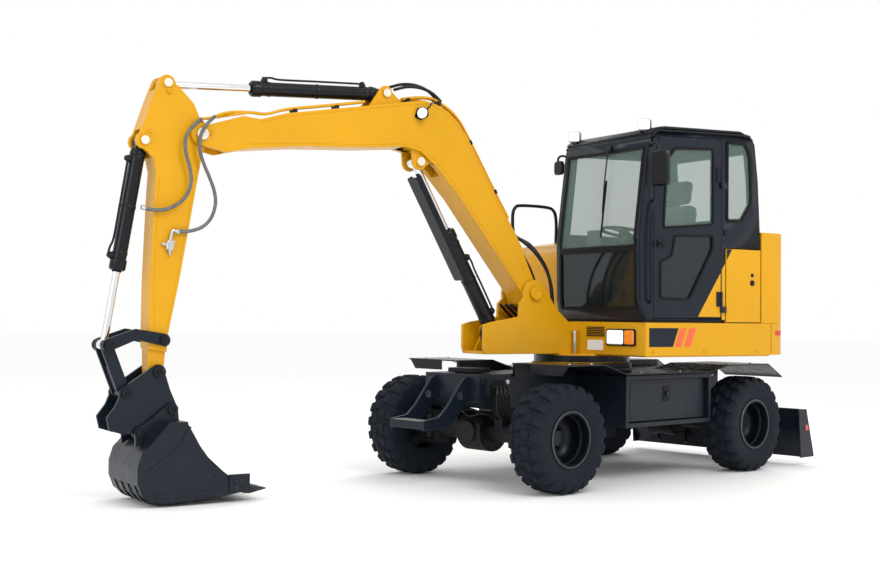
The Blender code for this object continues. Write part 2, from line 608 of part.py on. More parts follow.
def right_hood():
    """The hood over the tanks on the right: a shell, open below."""
    low, left = FRAME_TOP + GAP, CAB_RIGHT - 0.012
    front = RIGHT_HOOD_FRONT
    profile = [(front, low), (front, RIGHT_HOOD_TOP - 0.22), (front - 0.03, RIGHT_HOOD_TOP - 0.13),
               (front - 0.12, RIGHT_HOOD_TOP - 0.055), (-0.40, RIGHT_HOOD_TOP), (HOOD_FRONT + 0.006, RIGHT_HOOD_TOP),
               (HOOD_FRONT + 0.006, low)]
    outer = prism(profile, -UPPER_HALF, left)
    inner = [(front - 0.03, low - 0.1), (front - 0.03, RIGHT_HOOD_TOP - 0.25), (front - 0.13, RIGHT_HOOD_TOP - 0.10),
             (-0.40, RIGHT_HOOD_TOP - 0.03), (HOOD_FRONT + 0.036, RIGHT_HOOD_TOP - 0.03),
             (HOOD_FRONT + 0.036, low - 0.1)]
    hollow = prism(inner, -UPPER_HALF + 0.03, left - 0.03)
    to_bay = box((HOOD_FRONT - 0.05, CAB_STEP_X + 0.01), (left - 0.08, left + 0.05), (low - 0.1, 1.86))
    to_tail = box((HOOD_FRONT - 0.05, HOOD_FRONT + 0.08), (-0.62, left + 0.05), (low - 0.1, 1.86))
    return piece("right_hood", outer, YELLOW, UPPER, cut=[hollow, to_bay, to_tail])


def cab_outline():
    """The cab seen from its left side, counter-clockwise: floor, engine step, rear, roof, windscreen."""
    return [
        (CAB_STEP_X, CAB_FLOOR), (0.105, CAB_FLOOR), (0.135, 1.45), (0.145, 1.95), (0.055, 2.68),
        (0.035, 2.76), (-0.02, 2.805), (-0.10, 2.82), (-0.95, CAB_ROOF), (-1.06, 2.835),
        (-1.115, 2.76), (-1.155, 2.45), (CAB_REAR, CAB_STEP_Z), (CAB_STEP_X, CAB_STEP_Z)]


def front_x(z):
    """The X of the cab's front face at a height, read from the outline."""
    points = [(0.105, CAB_FLOOR), (0.135, 1.45), (0.145, 1.95), (0.055, 2.68), (0.035, 2.76)]
    for (xa, za), (xb, zb) in zip(points, points[1:]):
        if z <= zb:
            return xa + (xb - xa) * (z - za) / (zb - za)
    return points[-1][0]


UPPER_SCREEN = (1.868, 2.655)
DOOR_HINGE = (DOOR_REAR + 0.006, CAB_LEFT + 0.012)
DOOR_THICK = 0.036
LOWER_SCREEN = (1.375, 1.840)
SCREEN_Y = (CAB_RIGHT + 0.055, CAB_LEFT - 0.06)
QUARTER_WINDOW = [(-0.80, 2.11), (-0.96, 2.11), (-1.075, 2.27), (-1.055, 2.66), (-1.0, 2.76), (-0.80, 2.755)]
RIGHT_WINDOW = [(0.03, 2.0), (-0.05, 2.69), (-1.02, 2.72), (-1.09, 2.0)]
REAR_WINDOW_Z = (2.15, 2.70)
DOORWAY = [(DOOR_FRONT + 0.004, CAB_FLOOR + 0.012), (DOOR_FRONT + 0.004, 2.60), (-0.06, 2.755),
           (DOOR_REAR - 0.004, 2.775), (DOOR_REAR - 0.004, CAB_FLOOR + 0.012)]


def cab():
    outline = cab_outline()
    shell = prism(outline, CAB_RIGHT, CAB_LEFT)
    inner = inset(outline, CAB_WALL)
    inner[0] = (inner[0][0], CAB_FLOOR - 0.05)
    inner[1] = (inner[1][0], CAB_FLOOR - 0.05)
    hollow = prism(inner, CAB_RIGHT + CAB_WALL, CAB_LEFT - CAB_WALL)
    screens = [box((-0.09, 0.3), SCREEN_Y, z) for z in (LOWER_SCREEN, UPPER_SCREEN)]
    doorway = prism(DOORWAY, CAB_LEFT - CAB_WALL - 0.01, CAB_LEFT + 0.05)
    quarter = prism(QUARTER_WINDOW, CAB_LEFT - CAB_WALL - 0.01, CAB_LEFT + 0.05)
    right = prism(RIGHT_WINDOW, CAB_RIGHT - 0.05, CAB_RIGHT + CAB_WALL + 0.01)
    rear = box((CAB_REAR - 0.1, CAB_REAR + 0.16), (CAB_RIGHT + 0.1, CAB_LEFT - 0.1), REAR_WINDOW_Z)
    hinge_x, hinge_y = DOOR_HINGE
    hinges = []
    for z in (1.35, 2.37):
        top = z + 0.05 - GAP
        hinges.append(box((hinge_x - 0.055, DOOR_REAR - 0.0045), (CAB_LEFT - 0.005, hinge_y + 0.004), (z, top)))
        hinges.append(box((hinge_x - 0.02, hinge_x), (CAB_LEFT + 0.003, hinge_y + 0.004), (z, top)))
        hinges.append(cylinder((hinge_x, hinge_y, z), (hinge_x, hinge_y, top), 0.011, 12))
    return piece("cab", shell, SLATE, UPPER, cut=[hollow, *screens, doorway, quarter, right, rear],
                 after=hinges)


PANE = 0.006
PANE_GAP = 0.0005


def screen_pane(name, z_range):
    """A windscreen pane that follows the cab's front face, just behind it."""
    low, high = z_range[0] + PANE_GAP, z_range[1] - PANE_GAP
    levels = [low] + [z for z in (1.45, 1.95) if low < z < high] + [high]
    outline = [(front_x(z) - 0.008, z) for z in levels]
    outline += [(front_x(z) - 0.008 - PANE, z) for z in reversed(levels)]
    pane = prism(outline, SCREEN_Y[0] + PANE_GAP, SCREEN_Y[1] - PANE_GAP)
    return piece(name, pane, GLASS, UPPER)


def side_pane(name, outline, y, turn):
    points = outline if turn > 0 else list(reversed(outline))
    pane = prism(inset(points, PANE_GAP), y - PANE / 2, y + PANE / 2)
    return piece(name, pane, GLASS, UPPER)


def rear_pane():
    """The rear window, leaning with the cab's rear wall."""
    outline = [(-1.155, 2.45), (CAB_REAR, CAB_STEP_Z)]
    slope = (outline[0][0] - outline[1][0]) / (outline[0][1] - outline[1][1])
    top_slope = (-1.115 + 1.155) / (2.76 - 2.45)
    low, high = REAR_WINDOW_Z[0] + PANE_GAP, REAR_WINDOW_Z[1] - PANE_GAP
    points = [(CAB_REAR + slope * (low - CAB_STEP_Z), low), (-1.155, 2.45),
              (-1.155 + top_slope * (high - 2.45), high)]
    near = [(x + 0.010, z) for x, z in points]
    far = [(x + 0.010 + PANE, z) for x, z in reversed(points)]
    pane = prism(near + far, CAB_RIGHT + 0.1 + PANE_GAP, CAB_LEFT - 0.1 - PANE_GAP)
    return piece("rear_glass", pane, GLASS, UPPER)




def door_point(point):
    return (point[0] - DOOR_HINGE[0], point[1])


DOOR_UPPER_WINDOW = [(-0.10, 2.02), (-0.64, 2.07), (-0.64, 2.69), (-0.215, 2.665), (-0.13, 2.55)]
DOOR_LOWER_WINDOW = [(-0.07, 1.46), (-0.38, 1.45), (-0.64, 1.87), (-0.64, 1.98), (-0.22, 1.96),
                     (-0.19, 1.80), (-0.07, 1.75)]


def cab_door():
    hinge = empty("cab_door_hinge", UPPER, (DOOR_HINGE[0], DOOR_HINGE[1], 0.0))
    panel_outline = [door_point(p) for p in inset(DOORWAY, 0.006)]
    y_high = CAB_LEFT - DOOR_HINGE[1]
    y_low = y_high - DOOR_THICK
    panel = prism(panel_outline, y_low, y_high)
    windows = [prism([door_point(p) for p in outline], y_low - 0.02, y_high + 0.02)
               for outline in (DOOR_UPPER_WINDOW, DOOR_LOWER_WINDOW)]
    barrels = [cylinder((0, 0, z), (0, 0, z + 0.12), 0.011, 12) for z in (1.40, 2.42)]
    leaves = [box((0.0, 0.05), (-0.014, -0.002), (z, z + 0.12)) for z in (1.40, 2.42)]
    piece("cab_door", panel, SLATE, hinge, add=[*leaves, *barrels], cut=windows)
    for name, outline in (("door_glass_upper", DOOR_UPPER_WINDOW), ("door_glass_lower", DOOR_LOWER_WINDOW)):
        shape = inset([door_point(p) for p in reversed(outline)], PANE_GAP)
        piece(name, prism(shape, y_high - 0.010 - PANE, y_high - 0.010), GLASS, hinge)


def cab_floor():
    """The floor on its mounts, with the side consoles, pedals' ramp and the seat's box."""
    low, top = FRAME_TOP + GAP, CAB_FLOOR + 0.012
    plate = box((CAB_STEP_X + 0.02, 0.085), (CAB_RIGHT + 0.02, CAB_LEFT - 0.015), (low, CAB_FLOOR - GAP))
    inner_x = (CAB_STEP_X + CAB_WALL + 0.01, 0.06)
    inner_y = (CAB_RIGHT + CAB_WALL + 0.01, CAB_LEFT - CAB_WALL - 0.01)
    mat = box(inner_x, inner_y, (low + 0.005, top))
    seat_box = box((-0.66, -0.22), (0.16, 0.60), (top - 0.01, 1.50))
    right_console = box((-0.55, -0.06), (inner_y[0] + 0.005, 0.03), (top - 0.01, 1.78))
    rear_shelf = box((inner_x[0] + 0.002, -0.64), (inner_y[0] + 0.02, inner_y[1] - 0.08), (top - 0.01, 1.49))
    column = cylinder((-0.02, 0.385, top - 0.01), (-0.13, 0.385, 1.985), 0.035, 16)
    dash = box((-0.16, 0.02), (inner_y[0] + 0.005, 0.10), (top - 0.01, 1.90))
    return piece("cab_floor", plate, PLASTIC, UPPER,
                 add=[mat, seat_box, right_console, rear_shelf, column, dash])


def seat():
    cushion = box((-0.66, -0.16), (0.14, 0.62), (1.50 + GAP, 1.63))
    back = prism([(-0.62, 1.60), (-0.50, 1.62), (-0.58, 2.20), (-0.69, 2.20), (-0.72, 2.10)], 0.15, 0.61)
    head = box((-0.68, -0.59), (0.25, 0.51), (2.19, 2.42))
    return piece("seat", cushion, FABRIC, UPPER, add=[back, head])


def steering_wheel():
    place = empty("steering_wheel_axis", UPPER, (-0.1325, 0.385, 2.008), pitch=math.radians(-10.5))
    ring = bmesh.new()
    sides, tube_sides, radius, tube = 24, 8, 0.185, 0.014
    rows = []
    for step in range(sides):
        turn = 2 * math.pi * step / sides
        row = []
        for part in range(tube_sides):
            lean = 2 * math.pi * part / tube_sides
            reach = radius + tube * math.cos(lean)
            row.append(ring.verts.new((reach * math.cos(turn), reach * math.sin(turn), tube * math.sin(lean))))
        rows.append(row)
    for step in range(sides):
        here, after = rows[step], rows[(step + 1) % sides]
        for part in range(tube_sides):
            other = (part + 1) % tube_sides
            ring.faces.new((here[part], after[part], after[other], here[other]))
    bmesh.ops.recalc_face_normals(ring, faces=ring.faces)
    mesh = bpy.data.meshes.new("ring")
    ring.to_mesh(mesh)
    ring.free()
    spokes = [box((-0.185, 0.185), (-0.015, 0.015), (-0.006, 0.006)),
              box((-0.185, 0.0), (-0.012, 0.012), (-0.005, 0.005))]
    hub = cylinder((0, 0, -0.022), (0, 0, 0.015), 0.045, 16)
    return piece("steering_wheel", mesh_object("ring", mesh), PLASTIC, place, add=[*spokes, hub])


def left_mirror():
    """The mirror housing on its bent arm from the cab's front pillar."""
    housing = box((0.025, 0.075), (CAB_LEFT + 0.045, CAB_LEFT + 0.20), (2.33, 2.62))
    arm = cylinder((0.05, CAB_LEFT + GAP, 2.60), (0.05, CAB_LEFT + 0.10, 2.60), 0.012, 12)
    return piece("mirror_left", housing, PLASTIC, UPPER, add=[arm])


# ---------------------------------------------------------------- boom, arm and bucket
BOOM = empty("boom_foot", UPPER, (BOOM_FOOT[0], 0.0, BOOM_FOOT[1]), -BOOM_RISE)
ARM_PITCH = math.pi / 2 - ARM_LEAN
ARM = empty("arm_pivot", BOOM, (BOOM_LENGTH, 0.0, 0.0), ARM_PITCH + BOOM_RISE)
BUCKET = empty("bucket_pivot", ARM, (ARM_LENGTH, 0.0, 0.0), -ARM_PITCH)


def boom():
    tip = (BOOM_LENGTH, 0.0)
    outline = arc((0, 0), 0.11, 80, 290, 11)
    outline += [(0.10, -0.03), (0.92, 0.45), (1.216, 0.589), (1.383, 0.638), (1.52, 0.615),
                (1.84, 0.46), (2.31, 0.253), (2.70, 0.055), (2.85, -0.045)]
    outline += arc(tip, 0.078, -110, 100, 11)
    outline += [(2.82, 0.254), (2.69, 0.291), (2.52, 0.42), (1.93, 0.766), (1.50, 1.02),
                (1.38, 1.04), (1.263, 1.033), (1.159, 1.0), (1.033, 0.925), (0.588, 0.586), (0.30, 0.375)]
    body = prism(outline, -BOOM_HALF, BOOM_HALF)
    slot = box((BOOM_LENGTH - 0.235, BOOM_LENGTH + 0.2), (-ARM_HALF - SWING_PLAY, ARM_HALF + SWING_PLAY),
               (-0.3, 0.5))
    foot_bore = cylinder((0, -0.2, 0), (0, 0.2, 0), 0.04 + PIN_PLAY)
    eye_x, eye_z = BOOM_CYLINDER_EYE
    pocket = box((eye_x - 0.22, eye_x + 0.17), (-0.060, 0.060), (eye_z - 0.1, eye_z + 0.14))
    ear = arc(BOOM_CYLINDER_EYE, 0.065, -170, -10, 7) + [(eye_x + 0.12, eye_z + 0.10), (eye_x - 0.13, eye_z + 0.10)]
    ears = [prism(ear, s * 0.062, s * 0.088) for s in (1, -1)]
    heads = [cylinder((eye_x, s * 0.072, eye_z), (eye_x, s * 0.105, eye_z), 0.04, 16) for s in (1, -1)]
    base_x, base_z = ARM_CYLINDER_FOOT
    post = arc(ARM_CYLINDER_FOOT, 0.058, 10, 150, 7) + [(base_x - 0.22, base_z - 0.03), (base_x - 0.10, 0.80),
                                                       (base_x + 0.12, 0.70)]
    posts = [prism(post, s * 0.057, s * 0.080) for s in (1, -1)]
    base_pin = cylinder((base_x, -0.092, base_z), (base_x, 0.092, base_z), 0.024)
    tip_pin = cylinder((BOOM_LENGTH, -BOOM_HALF - 0.012, 0), (BOOM_LENGTH, BOOM_HALF + 0.012, 0), 0.035)
    return piece("boom", body, YELLOW, BOOM, cut=[slot, foot_bore, pocket],
                 after=[*ears, *heads, *posts, base_pin, tip_pin])


def arm():
    tip = (ARM_LENGTH, 0.0)
    top = ARM_CYLINDER_EYE
    outline = arc(top, 0.06, 90, 230, 7)[::-1]
    outline = [(-0.20, 0.085), (-0.12, 0.03)] + arc((0, 0), 0.085, -140, -40, 6)
    outline += [(0.12, -0.04), (1.02, -0.04), (1.40, -0.03)] + arc(tip, 0.055, -100, 80, 7)
    outline += [(ARM_LENGTH - 0.22, 0.10), (1.07, 0.165), (0.45, 0.25), (0.33, 0.262)]
    foot_x, foot_z = BUCKET_CYLINDER_FOOT
    outline += [(foot_x + 0.10, foot_z - 0.085)] + arc(BUCKET_CYLINDER_FOOT, 0.06, -10, 140, 6)
    outline += [(-0.16, 0.384)] + arc(top, 0.058, 110, 250, 7)
    body = prism(outline, -ARM_HALF, ARM_HALF)
    pivot_bore = cylinder((0, -0.2, 0), (0, 0.2, 0), 0.035 + PIN_PLAY)
    rod_slot = box((-0.7, top[0] + 0.062), (-0.053, 0.053), (-0.2, 0.7))
    foot_slot = box((foot_x - 0.075, foot_x + 0.24), (-0.055, 0.055), (foot_z - 0.085, foot_z + 0.2))
    heads = [cylinder((top[0], s * 0.07, top[1]), (top[0], s * (ARM_HALF + 0.014), top[1]), 0.035, 16)
             for s in (1, -1)]
    foot_pin = cylinder((foot_x, -ARM_HALF - 0.014, foot_z), (foot_x, ARM_HALF + 0.014, foot_z), 0.024)
    idler_x = ARM_LENGTH - IDLER_BACK
    narrow = [box((idler_x + 0.075, ARM_LENGTH + 0.2), span(s, 0.062, 0.2), (-0.2, 0.3)) for s in (1, -1)]
    tip_pin = cylinder((ARM_LENGTH, -0.125, 0), (ARM_LENGTH, 0.125, 0), 0.028)
    idler_bore = cylinder((idler_x, -0.2, 0), (idler_x, 0.2, 0), 0.024 + PIN_PLAY)
    return piece("arm", body, YELLOW, ARM,
                 cut=[pivot_bore, rod_slot, foot_slot, *narrow, idler_bore],
                 after=[*heads, foot_pin, tip_pin])


def in_bucket_frame(point):
    """A point of the arm's own frame, seen from the bucket's."""
    angle = -ARM_PITCH
    x, z = point[0] - ARM_LENGTH, point[1]
    return (x * math.cos(angle) - z * math.sin(angle), x * math.sin(angle) + z * math.cos(angle))


def in_arm_frame(point):
    """A point of the bucket's own frame, seen from the arm's."""
    angle = ARM_PITCH
    x, z = point
    return (x * math.cos(angle) - z * math.sin(angle) + ARM_LENGTH, x * math.sin(angle) + z * math.cos(angle))


IDLER_PIVOT = (ARM_LENGTH - IDLER_BACK, 0.0)
IDLER_TIP_WORLD = (math.cos(IDLER_ANGLE) * IDLER_LENGTH, math.sin(IDLER_ANGLE) * IDLER_LENGTH)


def upper_to_arm(vector):
    """A direction of the upper structure's frame, seen from the arm's own frame."""
    x, z = vector
    along = (math.sin(ARM_LEAN), -math.cos(ARM_LEAN))
    across = (math.cos(ARM_LEAN), math.sin(ARM_LEAN))
    return (x * along[0] + z * along[1], x * across[0] + z * across[1])


IDLER_TIP = tuple(a + b for a, b in zip(IDLER_PIVOT, upper_to_arm(IDLER_TIP_WORLD)))
LINK_END = tuple(a + b for a, b in zip((ARM_LENGTH, 0.0), upper_to_arm(LINK_PIN)))


def idler_links():
    """The pair of bent links that steer the bucket cylinder's eye, on one through pin."""
    reach = Vector(IDLER_TIP) - Vector(IDLER_PIVOT)
    place = empty("idler_pivot", ARM, (IDLER_PIVOT[0], 0.0, IDLER_PIVOT[1]), -math.atan2(reach.y, reach.x))
    length = reach.length
    bend = 0.05
    middle = (length / 2, bend)
    outer = arc((0, 0), 0.045, 100, 260, 6) + [(length / 2, bend - 0.075 + 0.045)]
    outer += arc((length, 0), 0.045, -80, 80, 6) + [(length / 2, bend + 0.045)]
    inner, outer_y = ARM_HALF + SWING_PLAY, ARM_HALF + 0.030
    left = prism(outer, inner, outer_y)
    right = prism(outer, -outer_y, -inner)
    pin = cylinder((0, -outer_y - 0.012, 0), (0, outer_y + 0.012, 0), 0.024)
    heads = [cylinder((length, s * 0.054, 0), (length, s * (outer_y + 0.012), 0), 0.02, 16) for s in (1, -1)]
    return piece("idler_links", left, SLATE, place, add=[pin, right, *heads])


def bucket_link():
    """The link from the idlers' tips down to the coupler: two cheeks and a cross plate."""
    run = Vector(LINK_END) - Vector(IDLER_TIP)
    place = empty("link_pivot", ARM, (IDLER_TIP[0], 0.0, IDLER_TIP[1]), -math.atan2(run.y, run.x))
    length = run.length
    cheek = arc((0, 0), 0.042, 90, 270, 7) + arc((length, 0), 0.042, -90, 90, 7)
    cheeks = [prism(cheek, s * 0.052, s * 0.076) for s in (1, -1)]
    bridge = box((length * 0.42, length - 0.03), (-0.06, 0.06), (-0.028, 0.028))
    lower = cylinder((length, -0.06, 0), (length, 0.06, 0), 0.034)
    bores = [cylinder((x, -0.2, 0), (x, 0.2, 0), radius, 16)
             for x, radius in ((0.0, 0.02 + PIN_PLAY), (length, 0.018))]
    return piece("bucket_link", bridge, SLATE, place, add=[*cheeks, lower], cut=bores)


COUPLER_INNER = 0.096
COUPLER_OUTER = 0.119
BUCKET_PIN_REAR = (-0.09, -0.253)
BUCKET_PIN_FRONT = (0.129, -0.403)


def quick_coupler():
    """The quick coupler: two side plates on the arm's pin, with two hooks for the bucket's pins."""
    side = arc((0, 0), 0.055, 60, 200, 6) + [(-0.085, -0.12)]
    side += arc(BUCKET_PIN_REAR, 0.05, 160, 290, 5) + [(0.02, -0.33)]
    side += arc(BUCKET_PIN_FRONT, 0.05, 220, 350, 5) + [(0.24, -0.415), (0.335, -0.385), (0.355, -0.30), (0.295, -0.22)]
    side += arc(LINK_PIN, 0.05, -20, 80, 5)
    plates = [prism(side, s * COUPLER_INNER, s * COUPLER_OUTER) for s in (1, -1)]
    floor = prism([(-0.06, -0.20), (-0.04, -0.28), (0.10, -0.36), (0.16, -0.33), (0.17, -0.27), (0.05, -0.20)],
                  -COUPLER_INNER - 0.01, COUPLER_INNER + 0.01)
    tip_bore = cylinder((0, -0.2, 0), (0, 0.2, 0), 0.028 + PIN_PLAY)
    heads = [cylinder((LINK_PIN[0], s * COUPLER_INNER, LINK_PIN[1]),
                      (LINK_PIN[0], s * (COUPLER_OUTER + 0.012), LINK_PIN[1]), 0.03, 16) for s in (1, -1)]
    seats = [cylinder((x, -0.2, z), (x, 0.2, z), 0.026, 16) for x, z in (BUCKET_PIN_REAR, BUCKET_PIN_FRONT)]
    return piece("quick_coupler", floor, SLATE, BUCKET, add=[*plates, *heads], cut=[tip_bore, *seats])


def bucket():
    """The digging bucket: a curved shell between two side plates, lip, teeth and pin ears."""
    half = BUCKET_HALF
    shell = [(-0.02, -0.325), (0.10, -0.46), (0.17, -0.53), (0.20, -0.62), (0.20, -0.72), (0.165, -0.81),
             (0.10, -0.86), (-0.02, -0.875), (-0.42, -0.845), (-0.62, -0.815)]
    wall = 0.016
    inner = [(-0.035, -0.345), (0.085, -0.47), (0.152, -0.54), (0.18, -0.625), (0.18, -0.715), (0.148, -0.797),
             (0.09, -0.842), (-0.02, -0.856), (-0.42, -0.824), (-0.62, -0.803)]
    back = prism(shell + inner[::-1], -half + 0.001, half - 0.001)
    cheek = [(-0.02, -0.327), (0.10, -0.461), (0.17, -0.531), (0.199, -0.62), (0.199, -0.72), (0.164, -0.809),
             (0.10, -0.859), (-0.02, -0.874), (-0.42, -0.844), (-0.56, -0.82), (-0.55, -0.76), (-0.44, -0.70),
             (-0.33, -0.62), (-0.24, -0.50), (-0.15, -0.345)]
    cheeks = [prism(cheek, *span(s, half - wall, half)) for s in (1, -1)]
    brow = box((-0.15, -0.01), (-half + 0.005, half - 0.005), (-0.35, -0.328))
    ear = arc(BUCKET_PIN_REAR, 0.045, 60, 200, 5) + [(-0.14, -0.335), (0.09, -0.455), (0.165, -0.50)]
    ear += arc(BUCKET_PIN_FRONT, 0.045, -30, 100, 5)
    ears = [prism(ear, s * (COUPLER_OUTER + 0.008), s * (COUPLER_OUTER + 0.034)) for s in (1, -1)]
    reach = COUPLER_OUTER + 0.045
    pins = [cylinder((x, -reach, z), (x, reach, z), 0.0255, 16) for x, z in (BUCKET_PIN_REAR, BUCKET_PIN_FRONT)]
    teeth = []
    for number in range(5):
        y = (number - 2) * (half - 0.045) / 2
        teeth.append(prism([(-0.60, -0.79), (-0.60, -0.835), (-0.72, -0.815)], y - 0.025, y + 0.025))
    cutters = [box((-0.60, -0.45), span(s, half - 0.004, half + 0.014), (-0.82, -0.70)) for s in (1, -1)]
    return piece("bucket", back, SLATE, BUCKET, add=[*cheeks, brow, *ears, *pins, *teeth, *cutters])


def cord(name, route, radius, parent):
    """A hose: a smooth line through its route, sampled evenly into a plain tube."""
    points = [Vector(p) for p in route]
    samples = []
    for number in range(len(points) - 1):
        p0 = points[max(number - 1, 0)]
        p1, p2 = points[number], points[number + 1]
        p3 = points[min(number + 2, len(points) - 1)]
        for step in range(3):
            t = step / 3
            samples.append(0.5 * ((2 * p1) + (p2 - p0) * t + (2 * p0 - 5 * p1 + 4 * p2 - p3) * t * t
                                  + (3 * p1 - p0 - 3 * p2 + p3) * t ** 3))
    samples.append(points[-1])
    curve = bpy.data.curves.new(name, "CURVE")
    curve.dimensions = "3D"
    curve.bevel_depth = radius
    curve.bevel_resolution = 2
    curve.use_fill_caps = True
    spline = curve.splines.new("POLY")
    spline.points.add(len(samples) - 1)
    for point, place in zip(spline.points, samples):
        point.co = (*place, 1.0)
    made = bpy.data.objects.new(name, curve)
    MODEL.objects.link(made)
    made.parent = parent
    curve.materials.append(HOSE)
    return made


# ---------------------------------------------------------------- the whole machine
chassis()
for side_name, side_sign in SIDES:
    side_deck(f"deck_{side_name}", side_sign)
    knuckle(f"knuckle_{side_name}", side_sign)
    wheel(f"front_{side_name}", FRONT_X, side_sign)
    wheel(f"rear_{side_name}", REAR_X, side_sign)
for side_name, side_sign in SIDES:
    tool_box(f"tool_box_{side_name}", side_sign)
    tool_box_door(f"tool_box_{side_name}_door", side_sign)
front_step()
front_axle()
rear_axle()
blade()
blade_base = (REAR_X - 0.36 - 0.06, 0.765)
hydraulic_cylinder("blade", MACHINE, blade_base, BLADE_EYE, 0.04, 0.022, 0.215, 0.038, 0.036, 0.020, 0.036, 0.032)

swing_frame()
counterweight()
engine_block()
rear_hood()
rear_door()
side_door()
right_hood()
cab()
cab_floor()
cab_door()
seat()
steering_wheel()
screen_pane("windscreen_upper", UPPER_SCREEN)
screen_pane("windscreen_lower", LOWER_SCREEN)
side_pane("quarter_glass", QUARTER_WINDOW, CAB_LEFT - 0.012, -1)
side_pane("right_glass", RIGHT_WINDOW, CAB_RIGHT + 0.012, 1)
rear_pane()
left_mirror()


def from_boom(point):
    """A point of the boom's own frame, seen from the upper structure's."""
    x, z = point
    return (BOOM_FOOT[0] + x * math.cos(BOOM_RISE) - z * math.sin(BOOM_RISE),
            BOOM_FOOT[1] + x * math.sin(BOOM_RISE) + z * math.cos(BOOM_RISE))


def from_arm_to_boom(point):
    """A point of the arm's own frame, seen from the boom's."""
    turn = -(ARM_PITCH + BOOM_RISE)
    x, z = point
    return (BOOM_LENGTH + x * math.cos(turn) - z * math.sin(turn), x * math.sin(turn) + z * math.cos(turn))


boom()
hydraulic_cylinder("boom", UPPER, BOOM_CYLINDER_FOOT, from_boom(BOOM_CYLINDER_EYE),
                   0.060, 0.030, 0.90, 0.050, 0.045, 0.028, 0.052, 0.045)
arm()
hydraulic_cylinder("arm", BOOM, ARM_CYLINDER_FOOT, from_arm_to_boom(ARM_CYLINDER_EYE),
                   0.052, 0.027, 1.085, 0.043, 0.042, 0.024, 0.046, 0.042)
hydraulic_cylinder("bucket", ARM, BUCKET_CYLINDER_FOOT, IDLER_TIP,
                   0.050, 0.026, 0.90, 0.043, 0.040, 0.024, 0.044, 0.038)
idler_links()
bucket_link()
quick_coupler()
bucket()
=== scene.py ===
"""Looks of a compact wheeled excavator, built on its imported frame.

Each new piece is a surface worked out with numpy in the place of its own joint: the machine, the
slewing upper structure, the boom, the arm or the bucket. PLACES turns such local points into the
row frame, so every finished object sits at the origin with its place in its mesh.
"""

import json
import math

import bpy
import numpy as np
from mathutils import Matrix, Vector


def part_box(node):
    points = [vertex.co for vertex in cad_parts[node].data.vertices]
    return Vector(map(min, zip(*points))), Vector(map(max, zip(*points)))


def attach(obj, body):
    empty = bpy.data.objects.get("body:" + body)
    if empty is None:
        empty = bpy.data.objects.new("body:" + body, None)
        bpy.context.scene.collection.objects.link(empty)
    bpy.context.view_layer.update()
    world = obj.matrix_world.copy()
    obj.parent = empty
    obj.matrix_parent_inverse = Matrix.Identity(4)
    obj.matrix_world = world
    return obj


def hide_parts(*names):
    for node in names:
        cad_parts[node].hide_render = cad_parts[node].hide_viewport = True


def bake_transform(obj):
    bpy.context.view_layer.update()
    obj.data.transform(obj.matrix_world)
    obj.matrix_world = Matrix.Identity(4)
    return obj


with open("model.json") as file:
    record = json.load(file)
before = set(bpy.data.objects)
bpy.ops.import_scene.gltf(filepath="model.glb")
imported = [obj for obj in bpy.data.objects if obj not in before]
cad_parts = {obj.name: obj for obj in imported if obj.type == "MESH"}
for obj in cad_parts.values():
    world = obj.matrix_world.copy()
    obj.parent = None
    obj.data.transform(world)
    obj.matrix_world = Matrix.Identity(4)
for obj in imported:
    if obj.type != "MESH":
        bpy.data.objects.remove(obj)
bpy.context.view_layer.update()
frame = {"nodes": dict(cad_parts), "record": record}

JOINTS = {joint["name"]: joint for joint in frame["record"]["behaviour"]["joints"]}


# ---------------------------------------------------------------- places
def joint_at(name):
    """A joint's position in the row frame."""
    return np.array(JOINTS[name]["pos_m"], float)


def place(origin, x_axis, y_axis):
    """A 4 by 4 matrix from an origin and two axes; the third is their cross product."""
    matrix = np.eye(4)
    matrix[:3, 0], matrix[:3, 1], matrix[:3, 2] = x_axis, y_axis, np.cross(x_axis, y_axis)
    matrix[:3, 3] = origin
    return matrix


# the slewed upper structure's own left and ahead, and the machine's centre on the ground
ACROSS = -np.array(JOINTS["boom_lift"]["axis"], float)
AHEAD = np.cross(ACROSS, (0.0, 0.0, 1.0))
GROUND = joint_at("slew") * (1, 1, 0)


def along(start, end):
    """The direction from one joint to another."""
    run = joint_at(end) - joint_at(start)
    return run / np.linalg.norm(run)


PLACES = {
    "machine": place(GROUND, (1, 0, 0), (0, 1, 0)),
    "upper": place(GROUND, AHEAD, ACROSS),
    "boom": place(joint_at("boom_lift"), along("boom_lift", "arm_swing"), ACROSS),
    "arm": place(joint_at("arm_swing"), along("arm_swing", "bucket_curl"), ACROSS),
    "bucket": place(joint_at("bucket_curl"), AHEAD, ACROSS),
    "row": np.eye(4),
}
BOTH = (1, -1)
UP = (0, 0, 1)
SIDES = ((1, "left"), (-1, "right"))


# ---------------------------------------------------------------- surfaces
def weave(rows, columns, loop_rows=False, loop_columns=False):
    """Quads of a grid of points, joined round on itself in either direction."""
    index = np.arange(rows * columns).reshape(rows, columns)
    if loop_rows:
        index = np.vstack([index, index[:1]])
    if loop_columns:
        index = np.hstack([index, index[:, :1]])
    quads = np.stack([index[:-1, :-1], index[:-1, 1:], index[1:, 1:], index[1:, :-1]], -1)
    return quads.reshape(-1, 4).tolist()


def outward(points, faces):
    """The same closed surface with its faces pointing out, by the sign of its volume."""
    total = 0.0
    for face in faces:
        fan = points[face]
        total += np.einsum("ij,ij->i", np.cross(fan[1:-1], fan[2:]), np.repeat(fan[:1], len(fan) - 2, 0)).sum()
    return (points, faces) if total > 0 else (points, [face[::-1] for face in faces])


def outward_grid(points, quads):
    """Like outward, for many quads at once."""
    table = points[np.array(quads)]
    total = np.einsum("ij,ij->i", table[:, 0], np.cross(table[:, 1], table[:, 2])).sum()
    total += np.einsum("ij,ij->i", table[:, 0], np.cross(table[:, 2], table[:, 3])).sum()
    return (points, quads) if total > 0 else (points, [quad[::-1] for quad in quads])


